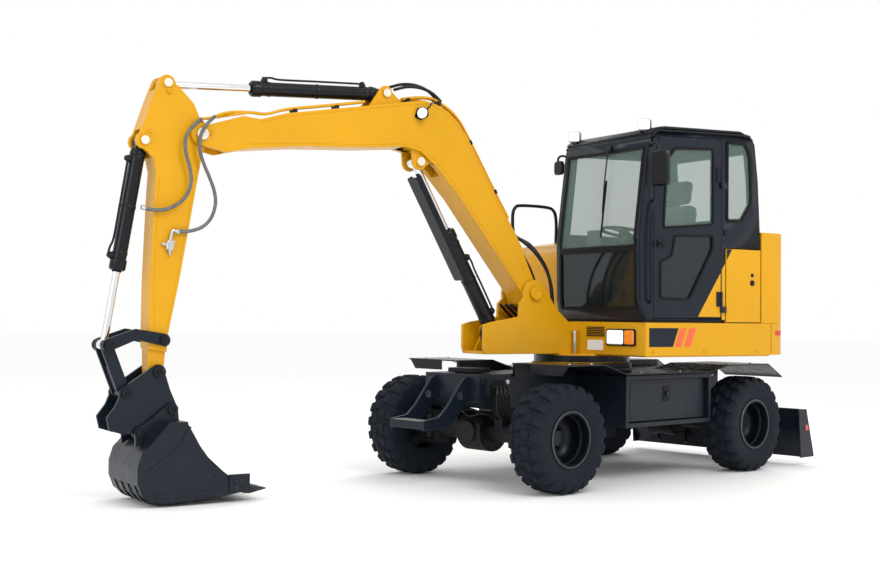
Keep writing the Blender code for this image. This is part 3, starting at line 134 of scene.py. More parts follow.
def round_line(knots, per_span=6):
    """A Catmull-Rom line through its knots: each span is the cubic of its four nearest knots."""
    knots = np.array(knots, float)
    padded = np.vstack([2 * knots[0] - knots[1], knots, 2 * knots[-1] - knots[-2]])
    t = (np.arange(per_span) / per_span)[:, None]
    spans = [0.5 * (2 * b + (c - a) * t + (2 * a - 5 * b + 4 * c - d) * t ** 2 + (3 * b - a - 3 * c + d) * t ** 3)
             for a, b, c, d in zip(padded, padded[1:], padded[2:], padded[3:])]
    return np.vstack(spans + [knots[-1:]])


def sweep(line, profile, side=(0, 1, 0), closed=False):
    """A profile carried along a line. At each point it stands on the plane across the line's tangent:
    point = line + first * side' + second * (tangent x side')."""
    line, profile = np.array(line, float), np.array(profile, float)
    tangent = np.roll(line, -1, 0) - np.roll(line, 1, 0) if closed else np.gradient(line, axis=0)
    tangent /= np.linalg.norm(tangent, axis=1)[:, None]
    wide = np.array(side, float) - tangent * (tangent @ np.array(side, float))[:, None]
    wide /= np.linalg.norm(wide, axis=1)[:, None]
    high = np.cross(tangent, wide)
    points = line[:, None] + profile[None, :, :1] * wide[:, None] + profile[None, :, 1:] * high[:, None]
    rows, columns = len(line), len(profile)
    quads = weave(rows, columns, closed, True)
    caps = [] if closed else [list(range(columns)), list(range((rows - 1) * columns, rows * columns))[::-1]]
    points = points.reshape(-1, 3)
    return outward(points, quads + caps)


def ring(radius, sides=10):
    """Points round a circle: (r cos a, r sin a)."""
    angle = np.arange(sides) * 2 * math.pi / sides
    return np.stack([radius * np.cos(angle), radius * np.sin(angle)], -1)


def strip(wide, high):
    """A flat profile, by its half width and half height."""
    return [(-wide, -high), (wide, -high), (wide, high), (-wide, high)]


def tube(knots, radius, side=(0, 1, 0), sides=10, per_span=6):
    """A round tube along the smooth line through its knots."""
    return sweep(round_line(knots, per_span), ring(radius, sides), side)


def raised(pairs, y):
    """(x, z) points set at one y."""
    return [(x, y, z) for x, z in pairs]


def turned(profile, origin, axis, sides=24):
    """(radius, height) points turned about an axis: origin + height * axis + radius * (cos a, sin a)."""
    axis = np.array(axis, float) / np.linalg.norm(axis)
    guide = np.array((0, 0, 1.0)) if abs(axis[2]) < 0.9 else np.array((1.0, 0, 0))
    first = np.cross(axis, guide)
    first /= np.linalg.norm(first)
    second = np.cross(axis, first)
    angle = np.arange(sides) * 2 * math.pi / sides
    spoke = np.cos(angle)[:, None] * first + np.sin(angle)[:, None] * second
    profile = np.array([p for p in profile if p[0] > 1e-6], float)
    points = profile[:, None, 1:] * axis + profile[:, None, :1] * spoke[None] + np.array(origin, float)
    rows = len(profile)
    caps = [list(range(sides)), list(range((rows - 1) * sides, rows * sides))[::-1]]
    return outward(points.reshape(-1, 3), weave(rows, sides, False, True) + caps)


def inset(outline, depth):
    """A counter-clockwise outline moved inwards: each corner by the mean of its two edge normals."""
    outline = np.array(outline, float)
    back = outline - np.roll(outline, 1, 0)
    on = np.roll(outline, -1, 0) - outline
    normals = [np.stack([-e[:, 1], e[:, 0]], -1) / np.linalg.norm(e, axis=1)[:, None] for e in (back, on)]
    lean = (normals[0] + normals[1]) / (1 + (normals[0] * normals[1]).sum(1))[:, None]
    return outline + lean * depth


def soften(outline, radius, steps=4):
    """An outline with its corners rounded: each becomes the parabola from edge to edge."""
    outline = np.array(outline, float)
    before, after = np.roll(outline, 1, 0) - outline, np.roll(outline, -1, 0) - outline
    reach = [np.minimum(radius / np.linalg.norm(e, axis=1), 0.45)[:, None] * e for e in (before, after)]
    t = np.linspace(0, 1, steps + 1)[None, :, None]
    start, end = (outline + reach[0])[:, None], (outline + reach[1])[:, None]
    curve = (1 - t) ** 2 * start + 2 * t * (1 - t) * outline[:, None] + t ** 2 * end
    return curve.reshape(-1, 2)


def counter_clockwise(outline):
    """The outline turned round if its signed area is negative."""
    outline = np.array(outline, float)
    x, z = outline[:, 0], outline[:, 1]
    turn = (x * np.roll(z, -1) - np.roll(x, -1) * z).sum()
    return outline if turn > 0 else outline[::-1]


LAYOUT = {"x": (1, 2, 0), "y": (0, 2, 1), "z": (0, 1, 2)}


def plate(outline, low, high, axis="y", edge=0.002):
    """A flat outline with thickness and eased edges: four loops, the outer two drawn in by the edge."""
    outline = counter_clockwise(outline)
    inner = inset(outline, edge)
    loops = [(inner, low), (outline, low + edge), (outline, high - edge), (inner, high)]
    first, second, third = LAYOUT[axis]
    count = len(outline)
    points = np.zeros((4, count, 3))
    for row, (loop, level) in enumerate(loops):
        points[row, :, first], points[row, :, second], points[row, :, third] = loop[:, 0], loop[:, 1], level
    caps = [list(range(count)), list(range(3 * count, 4 * count))[::-1]]
    return outward(points.reshape(-1, 3), weave(4, count, False, True) + caps)


def brick(x, y, z, corner=0.01, edge=0.002, axis="y"):
    """A block with rounded corners round one axis and eased edges."""
    spans = {"x": (y, z, x), "y": (x, z, y), "z": (x, y, z)}[axis]
    (a0, a1), (b0, b1), (c0, c1) = spans
    outline = soften([(a0, b0), (a1, b0), (a1, b1), (a0, b1)], corner, 3)
    return plate(outline, c0, c1, axis, edge)


def swung(shell, centre, axis, degrees):
    """A surface turned about an axis through a centre, by Rodrigues' formula."""
    points, faces = shell
    axis, angle = np.array(axis, float), math.radians(degrees)
    arm_out = points - np.array(centre, float)
    turned_out = (arm_out * math.cos(angle) + np.cross(axis, arm_out) * math.sin(angle)
                  + np.outer(arm_out @ axis, axis) * (1 - math.cos(angle)))
    return turned_out + np.array(centre, float), faces


def bolt(origin, axis, size=0.012):
    """A hexagon head on its washer."""
    washer = turned([(size * 1.35, 0), (size * 1.4, size * 0.08), (size * 1.35, size * 0.22)], origin, axis, 16)
    head = turned([(size, size * 0.2), (size, size * 0.8), (size * 0.85, size * 0.95)], origin, axis, 6)
    return [washer, head]


def cap(origin, axis, radius, height, sides=28):
    """A pin's end: a low disc with a rounded rim and a turned recess."""
    profile = [(radius * 0.96, 0), (radius, height * 0.25), (radius, height * 0.75), (radius * 0.93, height),
               (radius * 0.5, height), (radius * 0.42, height * 0.7)]
    return turned(profile, origin, axis, sides)


def build(name, shells, material, body, where=None, angle=35):
    """One piece from its closed surfaces, put in place, shaded and made to ride on its body.
    Its points are in the place of its body unless another place is named."""
    matrix = PLACES[where or {"chassis": "machine"}.get(body, body)]
    points, faces, count = [], [], 0
    for shell_points, shell_faces in shells:
        points.append(shell_points)
        faces += [[corner + count for corner in face] for face in shell_faces]
        count += len(shell_points)
    placed = np.vstack(points) @ matrix[:3, :3].T + matrix[:3, 3]
    mesh = bpy.data.meshes.new(name)
    mesh.from_pydata(placed.tolist(), [], faces)
    mesh.update()
    mesh.shade_smooth()
    mesh.set_sharp_from_angle(angle=math.radians(angle))
    made = bpy.data.objects.new(name, mesh)
    bpy.context.scene.collection.objects.link(made)
    mesh.materials.append(material)
    if body:
        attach(made, body)
    return made


def build_at(name, shells, material, body, angle=35):
    """A piece whose points are already in the row frame."""
    return build(name, shells, material, body, "row", angle)


# ---------------------------------------------------------------- finishes
def finish(name, colour, roughness, metallic=0.0, patches=(3.0, 0.08), grain=(400.0, 0.05), rough_range=0.06,
           coat=0.0, alpha=1.0, glow=0.0, dust=0.0, shine=0.5):
    """A paint, metal, rubber or plastic: slow patches in its colour, fine grain in its surface."""
    made = bpy.data.materials.new(name)
    made.use_nodes = True
    tree = made.node_tree
    shader = tree.nodes["Principled BSDF"]
    shader.inputs["Metallic"].default_value = metallic
    shader.inputs["Coat Weight"].default_value = coat
    shader.inputs["Coat Roughness"].default_value = 0.12
    shader.inputs["Alpha"].default_value = alpha
    shader.inputs["Specular IOR Level"].default_value = shine
    here = tree.nodes.new("ShaderNodeTexCoord").outputs["Object"]

    def noise(scale, detail):
        node = tree.nodes.new("ShaderNodeTexNoise")
        node.inputs["Scale"].default_value = scale
        node.inputs["Detail"].default_value = detail
        tree.links.new(here, node.inputs["Vector"])
        return node.outputs["Fac"]

    def blend(factor, first, second):
        node = tree.nodes.new("ShaderNodeMix")
        node.data_type = "RGBA"
        tree.links.new(factor, node.inputs["Factor"])
        for slot, value in ((6, first), (7, second)):
            if isinstance(value, tuple):
                node.inputs[slot].default_value = (*value, 1.0)
            else:
                tree.links.new(value, node.inputs[slot])
        return node.outputs[2]

    def spread(value, low, high, out_low, out_high):
        node = tree.nodes.new("ShaderNodeMapRange")
        for slot, number in zip(("From Min", "From Max", "To Min", "To Max"), (low, high, out_low, out_high)):
            node.inputs[slot].default_value = number
        tree.links.new(value, node.inputs["Value"])
        return node.outputs["Result"]

    haze = (0.20, 0.17, 0.14)
    haze_height = 0.9
    scale, amount = patches
    darker = tuple(channel * (1 - amount) for channel in colour)
    lighter = tuple(min(channel * (1 + amount), 1.0) for channel in colour)
    slow = noise(scale, 4.0)
    shade = blend(spread(slow, 0.3, 0.7, 0.0, 1.0), darker, lighter)
    if dust:
        split = tree.nodes.new("ShaderNodeSeparateXYZ")
        tree.links.new(here, split.inputs["Vector"])
        low_down = spread(split.outputs["Z"], 0.0, haze_height, dust, 0.0)
        speckle = spread(noise(scale * 9, 6.0), 0.42, 0.66, 0.0, 1.0)
        product = tree.nodes.new("ShaderNodeMath")
        product.operation = "MULTIPLY"
        tree.links.new(low_down, product.inputs[0])
        tree.links.new(speckle, product.inputs[1])
        shade = blend(product.outputs[0], shade, haze)
    tree.links.new(shade, shader.inputs["Base Color"])
    tree.links.new(spread(noise(scale * 6, 5.0), 0.3, 0.7, roughness - rough_range, roughness + rough_range),
                   shader.inputs["Roughness"])
    fine, strength = grain
    bump = tree.nodes.new("ShaderNodeBump")
    bump.inputs["Strength"].default_value = strength
    bump.inputs["Distance"].default_value = 0.002
    tree.links.new(noise(fine, 3.0), bump.inputs["Height"])
    tree.links.new(bump.outputs["Normal"], shader.inputs["Normal"])
    if glow:
        shader.inputs["Emission Color"].default_value = (*colour, 1.0)
        shader.inputs["Emission Strength"].default_value = glow
    return made


YELLOW = finish("warm_yellow_enamel", (0.66, 0.325, 0.004), 0.30, patches=(1.6, 0.045), grain=(260, 0.035), coat=0.08,
                dust=0.03, shine=0.22)
SLATE = finish("slate_textured_paint", (0.0055, 0.0095, 0.0175), 0.36, patches=(2.5, 0.12), grain=(520, 0.08),
               coat=0.04, dust=0.02, shine=0.24)
DARK = finish("satin_black_paint", (0.0022, 0.0036, 0.0062), 0.30, patches=(3.0, 0.12), grain=(420, 0.05), coat=0.05,
              shine=0.25)
CASTING = finish("cast_iron_painted", (0.007, 0.008, 0.010), 0.5, metallic=0.2, patches=(7, 0.2), grain=(150, 0.30),
                 dust=0.03, shine=0.22)
CHROME = finish("hard_chrome", (0.78, 0.78, 0.80), 0.10, metallic=1.0, patches=(9, 0.03), grain=(900, 0.02),
                rough_range=0.03)
STEEL = finish("zinc_plated_steel", (0.58, 0.58, 0.56), 0.32, metallic=0.9, patches=(20, 0.12), grain=(500, 0.08))
PALE_PIN = finish("pin_end_off_white", (0.72, 0.68, 0.58), 0.4, metallic=0.3, patches=(20, 0.10), grain=(400, 0.1))
TYRE = finish("tyre_rubber", (0.0048, 0.0086, 0.0155), 0.68, patches=(6, 0.15), grain=(330, 0.12), rough_range=0.06,
              dust=0.02, shine=0.18)
RIM = finish("wheel_black_enamel", (0.0025, 0.0042, 0.0070), 0.34, patches=(5, 0.15), grain=(300, 0.08), dust=0.02,
             shine=0.22)
# lighter than the wheel's black enamel: a painted highlight on the rim's lip and lock ring; its coat and low roughness
# give real shine
RIM_PAINTED_HIGHLIGHT = finish("rim_lip_painted_highlight", (0.022, 0.028, 0.038), 0.28, patches=(9, 0.06), grain=(500, 0.03), coat=0.4)
PLASTIC = finish("moulded_plastic", (0.007, 0.007, 0.008), 0.5, patches=(12, 0.10), grain=(700, 0.20), shine=0.25)
GREY_PLASTIC = finish("cab_trim_grey", (0.16, 0.17, 0.18), 0.6, patches=(10, 0.08), grain=(600, 0.25))
SEAL = finish("window_rubber", (0.004, 0.004, 0.005), 0.6, patches=(30, 0.1), grain=(500, 0.10), shine=0.2)
GREY_HOSE = finish("spiral_guard_grey", (0.13, 0.135, 0.14), 0.5, metallic=0.3, patches=(25, 0.2), grain=(120, 0.5))
BLACK_HOSE = finish("hose_black", (0.006, 0.006, 0.007), 0.45, patches=(40, 0.15), grain=(300, 0.2), shine=0.3)
WORN_STEEL = finish("worn_steel", (0.030, 0.033, 0.038), 0.36, metallic=0.6, patches=(14, 0.35), grain=(90, 0.30))
CLEAR_LENS = finish("lamp_lens", (0.86, 0.90, 0.90), 0.08, patches=(40, 0.03), grain=(150, 0.25), coat=0.6, glow=0.5)
AMBER_LENS = finish("amber_lens", (0.90, 0.25, 0.01), 0.12, patches=(40, 0.05), grain=(150, 0.3), coat=0.6, glow=0.08)
RED_LENS = finish("red_reflector", (0.62, 0.02, 0.015), 0.15, patches=(60, 0.10), grain=(220, 0.5), coat=0.6)
ORANGE = finish("orange_stripe_film", (0.80, 0.11, 0.03), 0.35, patches=(8, 0.04), grain=(500, 0.03), coat=0.3)
WHITE = finish("white_plate", (0.80, 0.80, 0.78), 0.4, patches=(10, 0.04), grain=(400, 0.05), coat=0.2)
PANE = finish("green_tinted_glass", (0.20, 0.30, 0.26), 0.03, patches=(2, 0.03), grain=(5, 0.004), rough_range=0.01,
              alpha=0.26)
# the lower panes are darker and less see-through than the upper glass: painted shade of the dim lower cab behind them
LOWER_PANE_PAINTED_SHADE = finish("glass_painted_inner_shade", (0.010, 0.020, 0.024), 0.05, patches=(2, 0.03), grain=(5, 0.004),
                     rough_range=0.01, alpha=0.72)
MIRROR = finish("mirror_glass", (0.80, 0.83, 0.85), 0.03, metallic=1.0, patches=(4, 0.02), grain=(5, 0.004),
                rough_range=0.01)


def cloth(name, colour):
    """A woven seat cloth: two crossed bands of threads give the bump and a slight change of shade."""
    made = finish(name, colour, 0.85, patches=(18, 0.18), grain=(700, 0.2))
    tree = made.node_tree
    shader = tree.nodes["Principled BSDF"]
    shader.inputs["Sheen Weight"].default_value = 0.35
    here = tree.nodes["Texture Coordinate"].outputs["Object"]
    bands = []
    for direction in ("X", "Z"):
        wave = tree.nodes.new("ShaderNodeTexWave")
        wave.bands_direction = direction
        wave.inputs["Scale"].default_value = 120.0
        tree.links.new(here, wave.inputs["Vector"])
        bands.append(wave.outputs["Fac"])
    weave_height = tree.nodes.new("ShaderNodeMath")
    weave_height.operation = "MULTIPLY"
    tree.links.new(bands[0], weave_height.inputs[0])
    tree.links.new(bands[1], weave_height.inputs[1])
    bump = tree.nodes["Bump"]
    bump.inputs["Strength"].default_value = 0.5
    tree.links.new(weave_height.outputs[0], bump.inputs["Height"])
    return made


SEAT_CLOTH = cloth("seat_weave", (0.045, 0.047, 0.052))


# ---------------------------------------------------------------- the carried-over solids
def dress(nodes, material, edge=0.003):
    """A finish on CAD solids, and eased edges where the solid is thick enough for them."""
    for node in nodes.split():
        made = frame["nodes"][node]
        made.data.materials.clear()
        made.data.materials.append(material)
        made.data.shade_smooth()
        weld = made.modifiers.new("Weld", "WELD")
        weld.merge_threshold = 0.00002
        if edge:
            flat = made.modifiers.new("Planar", "DECIMATE")
            flat.decimate_type = "DISSOLVE"
            flat.angle_limit = math.radians(1)
            ease = made.modifiers.new("Edges", "BEVEL")
            ease.width = edge
            ease.segments = 2
            ease.limit_method = "ANGLE"
            ease.angle_limit = math.radians(38)
            ease.use_clamp_overlap = False
            ease.miter_outer = "MITER_ARC"
        even = made.modifiers.new("Normals", "WEIGHTED_NORMAL")
        even.keep_sharp = False
        even.weight = 80


dress("swing_frame counterweight rear_hood right_hood boom arm", YELLOW, 0.004)
dress("rear_door engine_door", YELLOW, 0.002)
dress("chassis tool_box_left tool_box_right front_step blade", SLATE, 0.002)
dress("tool_box_left_door tool_box_right_door bucket_link idler_links quick_coupler bucket", SLATE, 0.0015)
dress("cab", SLATE, 0.0)
dress("deck_left deck_right", DARK, 0.002)
dress("cab_door", SLATE, 0.0015)
dress("boom_cylinder arm_cylinder bucket_cylinder blade_cylinder", DARK, 0.001)
dress("boom_rod arm_rod bucket_rod blade_rod", CHROME, 0.001)
dress("front_axle rear_axle knuckle_left knuckle_right engine_block", CASTING, 0.002)
dress("rim_front_left rim_front_right rim_rear_left rim_rear_right", RIM, 0.0)
dress("cab_floor steering_wheel", PLASTIC, 0.002)
dress("windscreen_upper quarter_glass right_glass rear_glass door_glass_upper", PANE, 0.0)
# lower windscreen and lower door glass: painted shade of the cab's dim lower inside
dress("windscreen_lower door_glass_lower", LOWER_PANE_PAINTED_SHADE, 0.0)


# ---------------------------------------------------------------- wheels
LUGS = 21
LUG_DEPTH = 0.023
STEPS_PER_LUG = 24
BEAD_RADIUS = 0.2035
FLANGE_RADIUS = 0.205
DISC_Y = -0.069           # the wheel disc's outer face, from the tyre's middle towards the outside
HUB_STANDOFF = 0.069
STUD_CIRCLE, HUB_CIRCLE = 0.112, 0.046


def tyre_surface(radius, half, bead):
    """A tyre as a grid of turn angle by profile. The profile parameter s runs from wall to wall, with the
    tread inside |s| = 0.5. The lugs stand where a slanted wave, one row for each side, is above zero."""
    turns, across = LUGS * STEPS_PER_LUG, 48
    s = np.linspace(-1, 1, across)
    out = np.abs(s)
    crown = radius - LUG_DEPTH
    shoulder_drop, wall_bulge = 0.018, 0.016
    wall = np.clip((out - 0.5) / 0.5, 0, 1)
    shoulder = np.clip((out - 0.36) / 0.16, 0, 1)
    tread_r = crown - 0.006 * (s / 0.5) ** 2 * (wall == 0) - 0.012 * shoulder ** 2
    wall_r = (crown - shoulder_drop) + (bead - crown + shoulder_drop) * wall ** 1.05
    tread_y = np.sign(s) * half * np.minimum(1, out * 1.75) ** 0.9
    wall_y = np.sign(s) * (half - 0.002 - wall_bulge * np.abs(wall - 0.32) ** 1.4 * 2.2)
    profile_r, profile_y = np.where(wall > 0, wall_r, tread_r), np.where(wall > 0, wall_y, tread_y)

    turn = np.arange(turns) * 2 * math.pi / turns
    phase, slant = np.where(s > 0, 0.0, 0.5), out * 0.50
    wave = ((turn[:, None] * LUGS / (2 * math.pi) + phase[None] + slant[None]) % 1.0) - 0.5
    bar = np.clip((0.315 - np.abs(wave)) / 0.035, 0, 1)
    reach = np.clip((out - 0.02) / 0.03, 0, 1) * np.clip((0.60 - out) / 0.03, 0, 1)
    split = np.clip(np.abs(out - 0.27) / 0.02 - 0.4, 0.35, 1)
    centre = np.clip((0.07 - out) / 0.03, 0, 1)
    lift = np.maximum(LUG_DEPTH * bar * reach[None] * split[None], 0.35 * LUG_DEPTH * centre[None])
    side_ring = 0.0025 * np.clip(1 - np.abs(out - 0.80) / 0.03, 0, 1)
    side_push = np.where(wall > 0, lift * 0.35, 0) + side_ring[None]
    r = profile_r[None] + np.where(wall > 0, lift * 0.25, lift)
    limit = half - 0.0005
    y = np.clip(profile_y[None] + np.sign(s)[None] * side_push, -limit, limit)
    points = np.stack([r * np.cos(turn)[:, None], y, r * np.sin(turn)[:, None]], -1)
    inside = np.array([(bead - 0.004, half - 0.03), (bead - 0.004, -half + 0.03)])
    inner = np.stack([np.outer(np.cos(turn), inside[:, 0]), np.repeat(inside[None, :, 1], turns, 0),
                      np.outer(np.sin(turn), inside[:, 0])], -1)
    return np.concatenate([points, inner], 1), turns, across + 2


def bolt_circle(centre, out, radius, number, size, first=0.0):
    """Bolts on a circle in a wheel's plane; first is the turn of the first, in spacings."""
    turn = 2 * math.pi * (np.arange(number) + first) / number
    return [part for a in turn
            for part in bolt(centre + np.array((radius * math.cos(a), 0, radius * math.sin(a))), out, size)]


def wheel(corner, body):
    """The treaded tyre in place of the plain one, then the studs, the hub cap and the rim's two rings."""
    low, high = (np.array(c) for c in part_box(f"tyre_{corner}"))
    middle = (low + high) / 2
    radius, half = (high[2] - low[2]) / 2, (high[1] - low[1]) / 2
    side = 1 if corner.endswith("left") else -1
    out = (0, side, 0)
    points, turns, columns = tyre_surface(radius, half, BEAD_RADIUS)
    points = points * (1, side, 1) + middle
    shell = outward_grid(points.reshape(-1, 3), weave(turns, columns, True, True))
    tyre = build_at(f"tread_{corner}", [shell], TYRE, body, 40)
    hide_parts(f"tyre_{corner}")

    disc = middle + (0, side * DISC_Y, 0)
    hub = disc + (0, side * HUB_STANDOFF, 0)
    parts = bolt_circle(disc, out, STUD_CIRCLE, 8, 0.013, 0.5)
    parts.append(turned([(0.060, 0.0), (0.058, 0.010), (0.030, 0.014), (0.012, 0.015)], hub, out, 28))
    parts += bolt_circle(hub + (0, side * 0.008, 0), out, HUB_CIRCLE, 6, 0.005)
    build_at(f"wheel_nuts_{corner}", parts, SLATE, body)

    # the lip and the lock ring take a lighter finish, a painted highlight on the rim's edges
    lip = [(FLANGE_RADIUS + step, y) for step, y in ((-0.010, 0.118), (-0.002, 0.122), (0.006, 0.136), (0.003, 0.1405),
                                                     (-0.004, 0.139), (-0.013, 0.126))]
    lock_ring = [(0.189, 0.055), (0.1885, 0.075), (0.180, 0.080), (0.178, 0.058)]
    for name, profile in (("lip", lip), ("lock_ring", lock_ring)):
        points, _ = turned(profile, middle, out, 48)
        build_at(f"rim_{name}_{corner}", [outward(points, weave(len(profile), 48, True, True))], RIM_PAINTED_HIGHLIGHT, body)


for corner in ("front_left", "front_right", "rear_left", "rear_right"):
    wheel(corner, f"wheel_{corner}")


# ---------------------------------------------------------------- hydraulic cylinders
def cylinder_ends(name, body, tilt, slide, length, radius, foot_gap):
    """The gland at a barrel's mouth, its wiper ring, the welded foot collar, two oil ports and the pipe between them.
    """
    origin = joint_at(tilt)
    axis = np.array(JOINTS[slide]["axis"], float)
    across = ACROSS if name != "blade" else np.array((0, 1.0, 0))
    top = np.cross(axis, across)
    top *= 1 if top[2] > 0 else -1
    mouth = origin + axis * length
    # the blade's gland is flush, as its rod's eye comes close; the boom's upper port stays clear of the ears
    lip = 0.006 if name != "blade" else -0.006
    upper_port = 0.90 if name != "boom" else 0.70
    parts = [turned([(radius + 0.001, -0.075), (radius + 0.007, -0.070), (radius + 0.007, -0.012),
                     (radius + 0.004, -0.004), (radius - 0.004, lip - 0.002), (radius * 0.62, lip)], mouth, axis, 36),
             turned([(radius + 0.001, 0.0), (radius + 0.005, 0.006), (radius + 0.005, 0.03), (radius + 0.001, 0.036)],
                    origin + axis * (foot_gap + 0.02), axis, 36)]
    for share in (0.12, 0.5, 0.86):
        parts.append(turned([(radius + 0.0005, 0), (radius + 0.0025, 0.003), (radius + 0.0025, 0.019),
                             (radius + 0.0005, 0.022)], origin + axis * length * share, axis, 36))
    port = radius * 0.35 + 0.008
    for share in (upper_port, 0.15):
        base = origin + axis * length * share + top * (radius - 0.004)
        parts.append(turned([(port, 0), (port, 0.022), (port * 0.8, 0.026), (port * 0.6, 0.04), (0.004, 0.042)],
                            base, top, 12))
    start = origin + axis * length * upper_port + top * (radius + 0.030)
    end = origin + axis * length * 0.17 + top * (radius + 0.018)
    knots = [start, start - axis * 0.05 + across * 0.012, start - axis * 0.12 + across * 0.022 - top * 0.012,
             (start + end) / 2 + across * 0.024 - top * 0.006, end + axis * 0.10 + across * 0.022, end + across * 0.02]
    parts.append(tube(knots, 0.008, across, 10, 5))
    build_at(f"{name}_barrel_trim", parts, DARK, body)
    wiper = turned([(radius * 0.62, 0.0), (radius * 0.66, 0.004), (radius * 0.64, 0.014), (radius * 0.58, 0.016)],
                   mouth, axis, 30)
    build_at(f"{name}_wiper_ring", [wiper], SEAL, body)


cylinder_ends("boom", "boom_barrel", "boom_cylinder_tilt", "boom_rod_slide", 0.90, 0.060, 0.06)
cylinder_ends("arm", "arm_barrel", "arm_cylinder_tilt", "arm_rod_slide", 1.085, 0.052, 0.055)
cylinder_ends("bucket", "bucket_barrel", "bucket_cylinder_tilt", "bucket_rod_slide", 0.90, 0.050, 0.052)
cylinder_ends("blade", "blade_barrel", "blade_cylinder_tilt", "blade_rod_slide", 0.215, 0.040, 0.04)


barrel_foot = joint_at("boom_cylinder_tilt")
barrel_way = np.array(JOINTS["boom_rod_slide"]["axis"], float)
barrel_front = np.cross(barrel_way, ACROSS)
barrel_front *= 1 if barrel_front @ AHEAD > 0 else -1
PLACES["barrel"] = place(barrel_foot, barrel_way, ACROSS)
front_sign = 1.0 if PLACES["barrel"][:3, 2] @ barrel_front > 0 else -1.0
start, end, wide = 0.50, 1.41, 0.068
outline = soften([(start, -wide), (end, -wide), (end, wide), (start, wide)], 0.02, 3)
guard = [plate(outline, *sorted((front_sign * 0.074, front_sign * 0.082)), "z", 0.002)]
for side in BOTH:
    guard.append(brick((start, end), sorted((side * (wide - 0.006), side * wide)),
                       sorted((front_sign * 0.030, front_sign * 0.080)), 0.008, 0.001))
build("boom_cylinder_guard", guard, DARK, "boom_rod_body", "barrel")
loop_line = [(x, y, front_sign * z) for x, y, z in (
    (0.085, 0.040, 0.058), (0.080, 0.052, 0.105), (0.045, 0.068, 0.150), (0.00, 0.080, 0.150), (-0.06, 0.080, 0.085),
    (-0.050, 0.070, 0.03), (0.02, 0.062, 0.010), (0.10, 0.055, 0.012))]
build("boom_cylinder_hoses", [tube(loop_line, 0.011),
                              tube([(x * 0.8 - 0.012, y - 0.03, z * 0.9) for x, y, z in loop_line], 0.011)],
      BLACK_HOSE, "boom_barrel", "barrel")


# ---------------------------------------------------------------- boom and arm
def both_sides(x, z, y, radius, height):
    """A pin's two end caps."""
    return [cap((x, s * y, z), (0, s, 0), radius, height) for s in BOTH]


def keeper(x, z, y, angle, reach=0.075):
    """The flag plate that stops a pin from turning, with its bolt."""
    parts = []
    for s in BOTH:
        tip = (x + reach * math.cos(angle), z + reach * math.sin(angle))
        nx, nz = -math.sin(angle) * 0.016, math.cos(angle) * 0.016
        outline = soften([(x + nx, z + nz), (x - nx, z - nz), (tip[0] - nx, tip[1] - nz), (tip[0] + nx, tip[1] + nz)],
                         0.012, 3)
        low, high = (y, y + 0.008) if s > 0 else (-y - 0.008, -y)
        parts.append(plate(outline, low, high, "y", 0.0015))
        parts += bolt((tip[0] * 0.88 + x * 0.12, s * (y + 0.008), tip[1] * 0.88 + z * 0.12), (0, s, 0), 0.009)
    return parts


BOOM_HALF, ARM_HALF = 0.1225, 0.09
BOOM_EYE, ARM_FOOT = (1.345, 0.572), (1.805, 0.938)
ARM_EYE, BUCKET_FOOT = (-0.29, 0.30), (0.14, 0.385)
BOOM_LENGTH = 3.058
PIPE_RADIUS, ARM_HOSE_RADIUS, FOOT_HOSE_RADIUS = 0.011, 0.0125, 0.0135

pale = both_sides(BOOM_LENGTH, 0, BOOM_HALF + 0.012, 0.042, 0.012)
pale += both_sides(*ARM_FOOT, 0.092, 0.032, 0.010) + both_sides(*BOOM_EYE, 0.105, 0.034, 0.010)
build("boom_pin_ends", pale, PALE_PIN, "boom")
build("boom_keepers", keeper(BOOM_LENGTH, 0, BOOM_HALF + 0.001, math.radians(150)), YELLOW, "boom")
build("arm_pin_ends", both_sides(*ARM_EYE, ARM_HALF + 0.014, 0.030, 0.010)
      + both_sides(*BUCKET_FOOT, ARM_HALF + 0.014, 0.030, 0.010), PALE_PIN, "arm")
build("arm_keepers", keeper(*ARM_EYE, ARM_HALF + 0.001, math.radians(-20))
      + keeper(*BUCKET_FOOT, ARM_HALF + 0.001, math.radians(200)), YELLOW, "arm")

build("boom_foot_pin_ends", both_sides(0.62, 1.49, 0.185, 0.055, 0.012), YELLOW, "upper")
build("boom_cylinder_pin_ends", both_sides(0.93, 1.19, 0.10, 0.036, 0.010), PALE_PIN, "upper")


def weld_line(outline, y, radius=0.0035):
    """A weld bead: a thin tube along a seam."""
    line = round_line(raised(outline, y), 10)
    return sweep(line, ring(radius, 6), (0, 1, 0))


boom_low = [(0.12, 0.005), (0.92, 0.475), (1.216, 0.614), (1.383, 0.66), (1.52, 0.638), (1.84, 0.485), (2.31, 0.278),
            (2.74, 0.072)]
boom_high = [(0.16, 0.265), (0.588, 0.561), (1.033, 0.898), (1.17, 0.98), (1.27, 1.010), (1.38, 1.015), (1.49, 0.996),
             (1.93, 0.742), (2.50, 0.405), (2.68, 0.27)]
build("boom_welds", [weld_line(line, s * BOOM_HALF) for line in (boom_low, boom_high) for s in BOTH], YELLOW, "boom")
arm_back = [(0.10, -0.018), (1.02, -0.018), (1.38, -0.010)]
arm_front = [(0.36, 0.238), (0.46, 0.226), (1.07, 0.142), (1.38, 0.078)]
build("arm_welds", [weld_line(line, s * ARM_HALF) for line in (arm_back, arm_front) for s in BOTH], YELLOW, "arm")

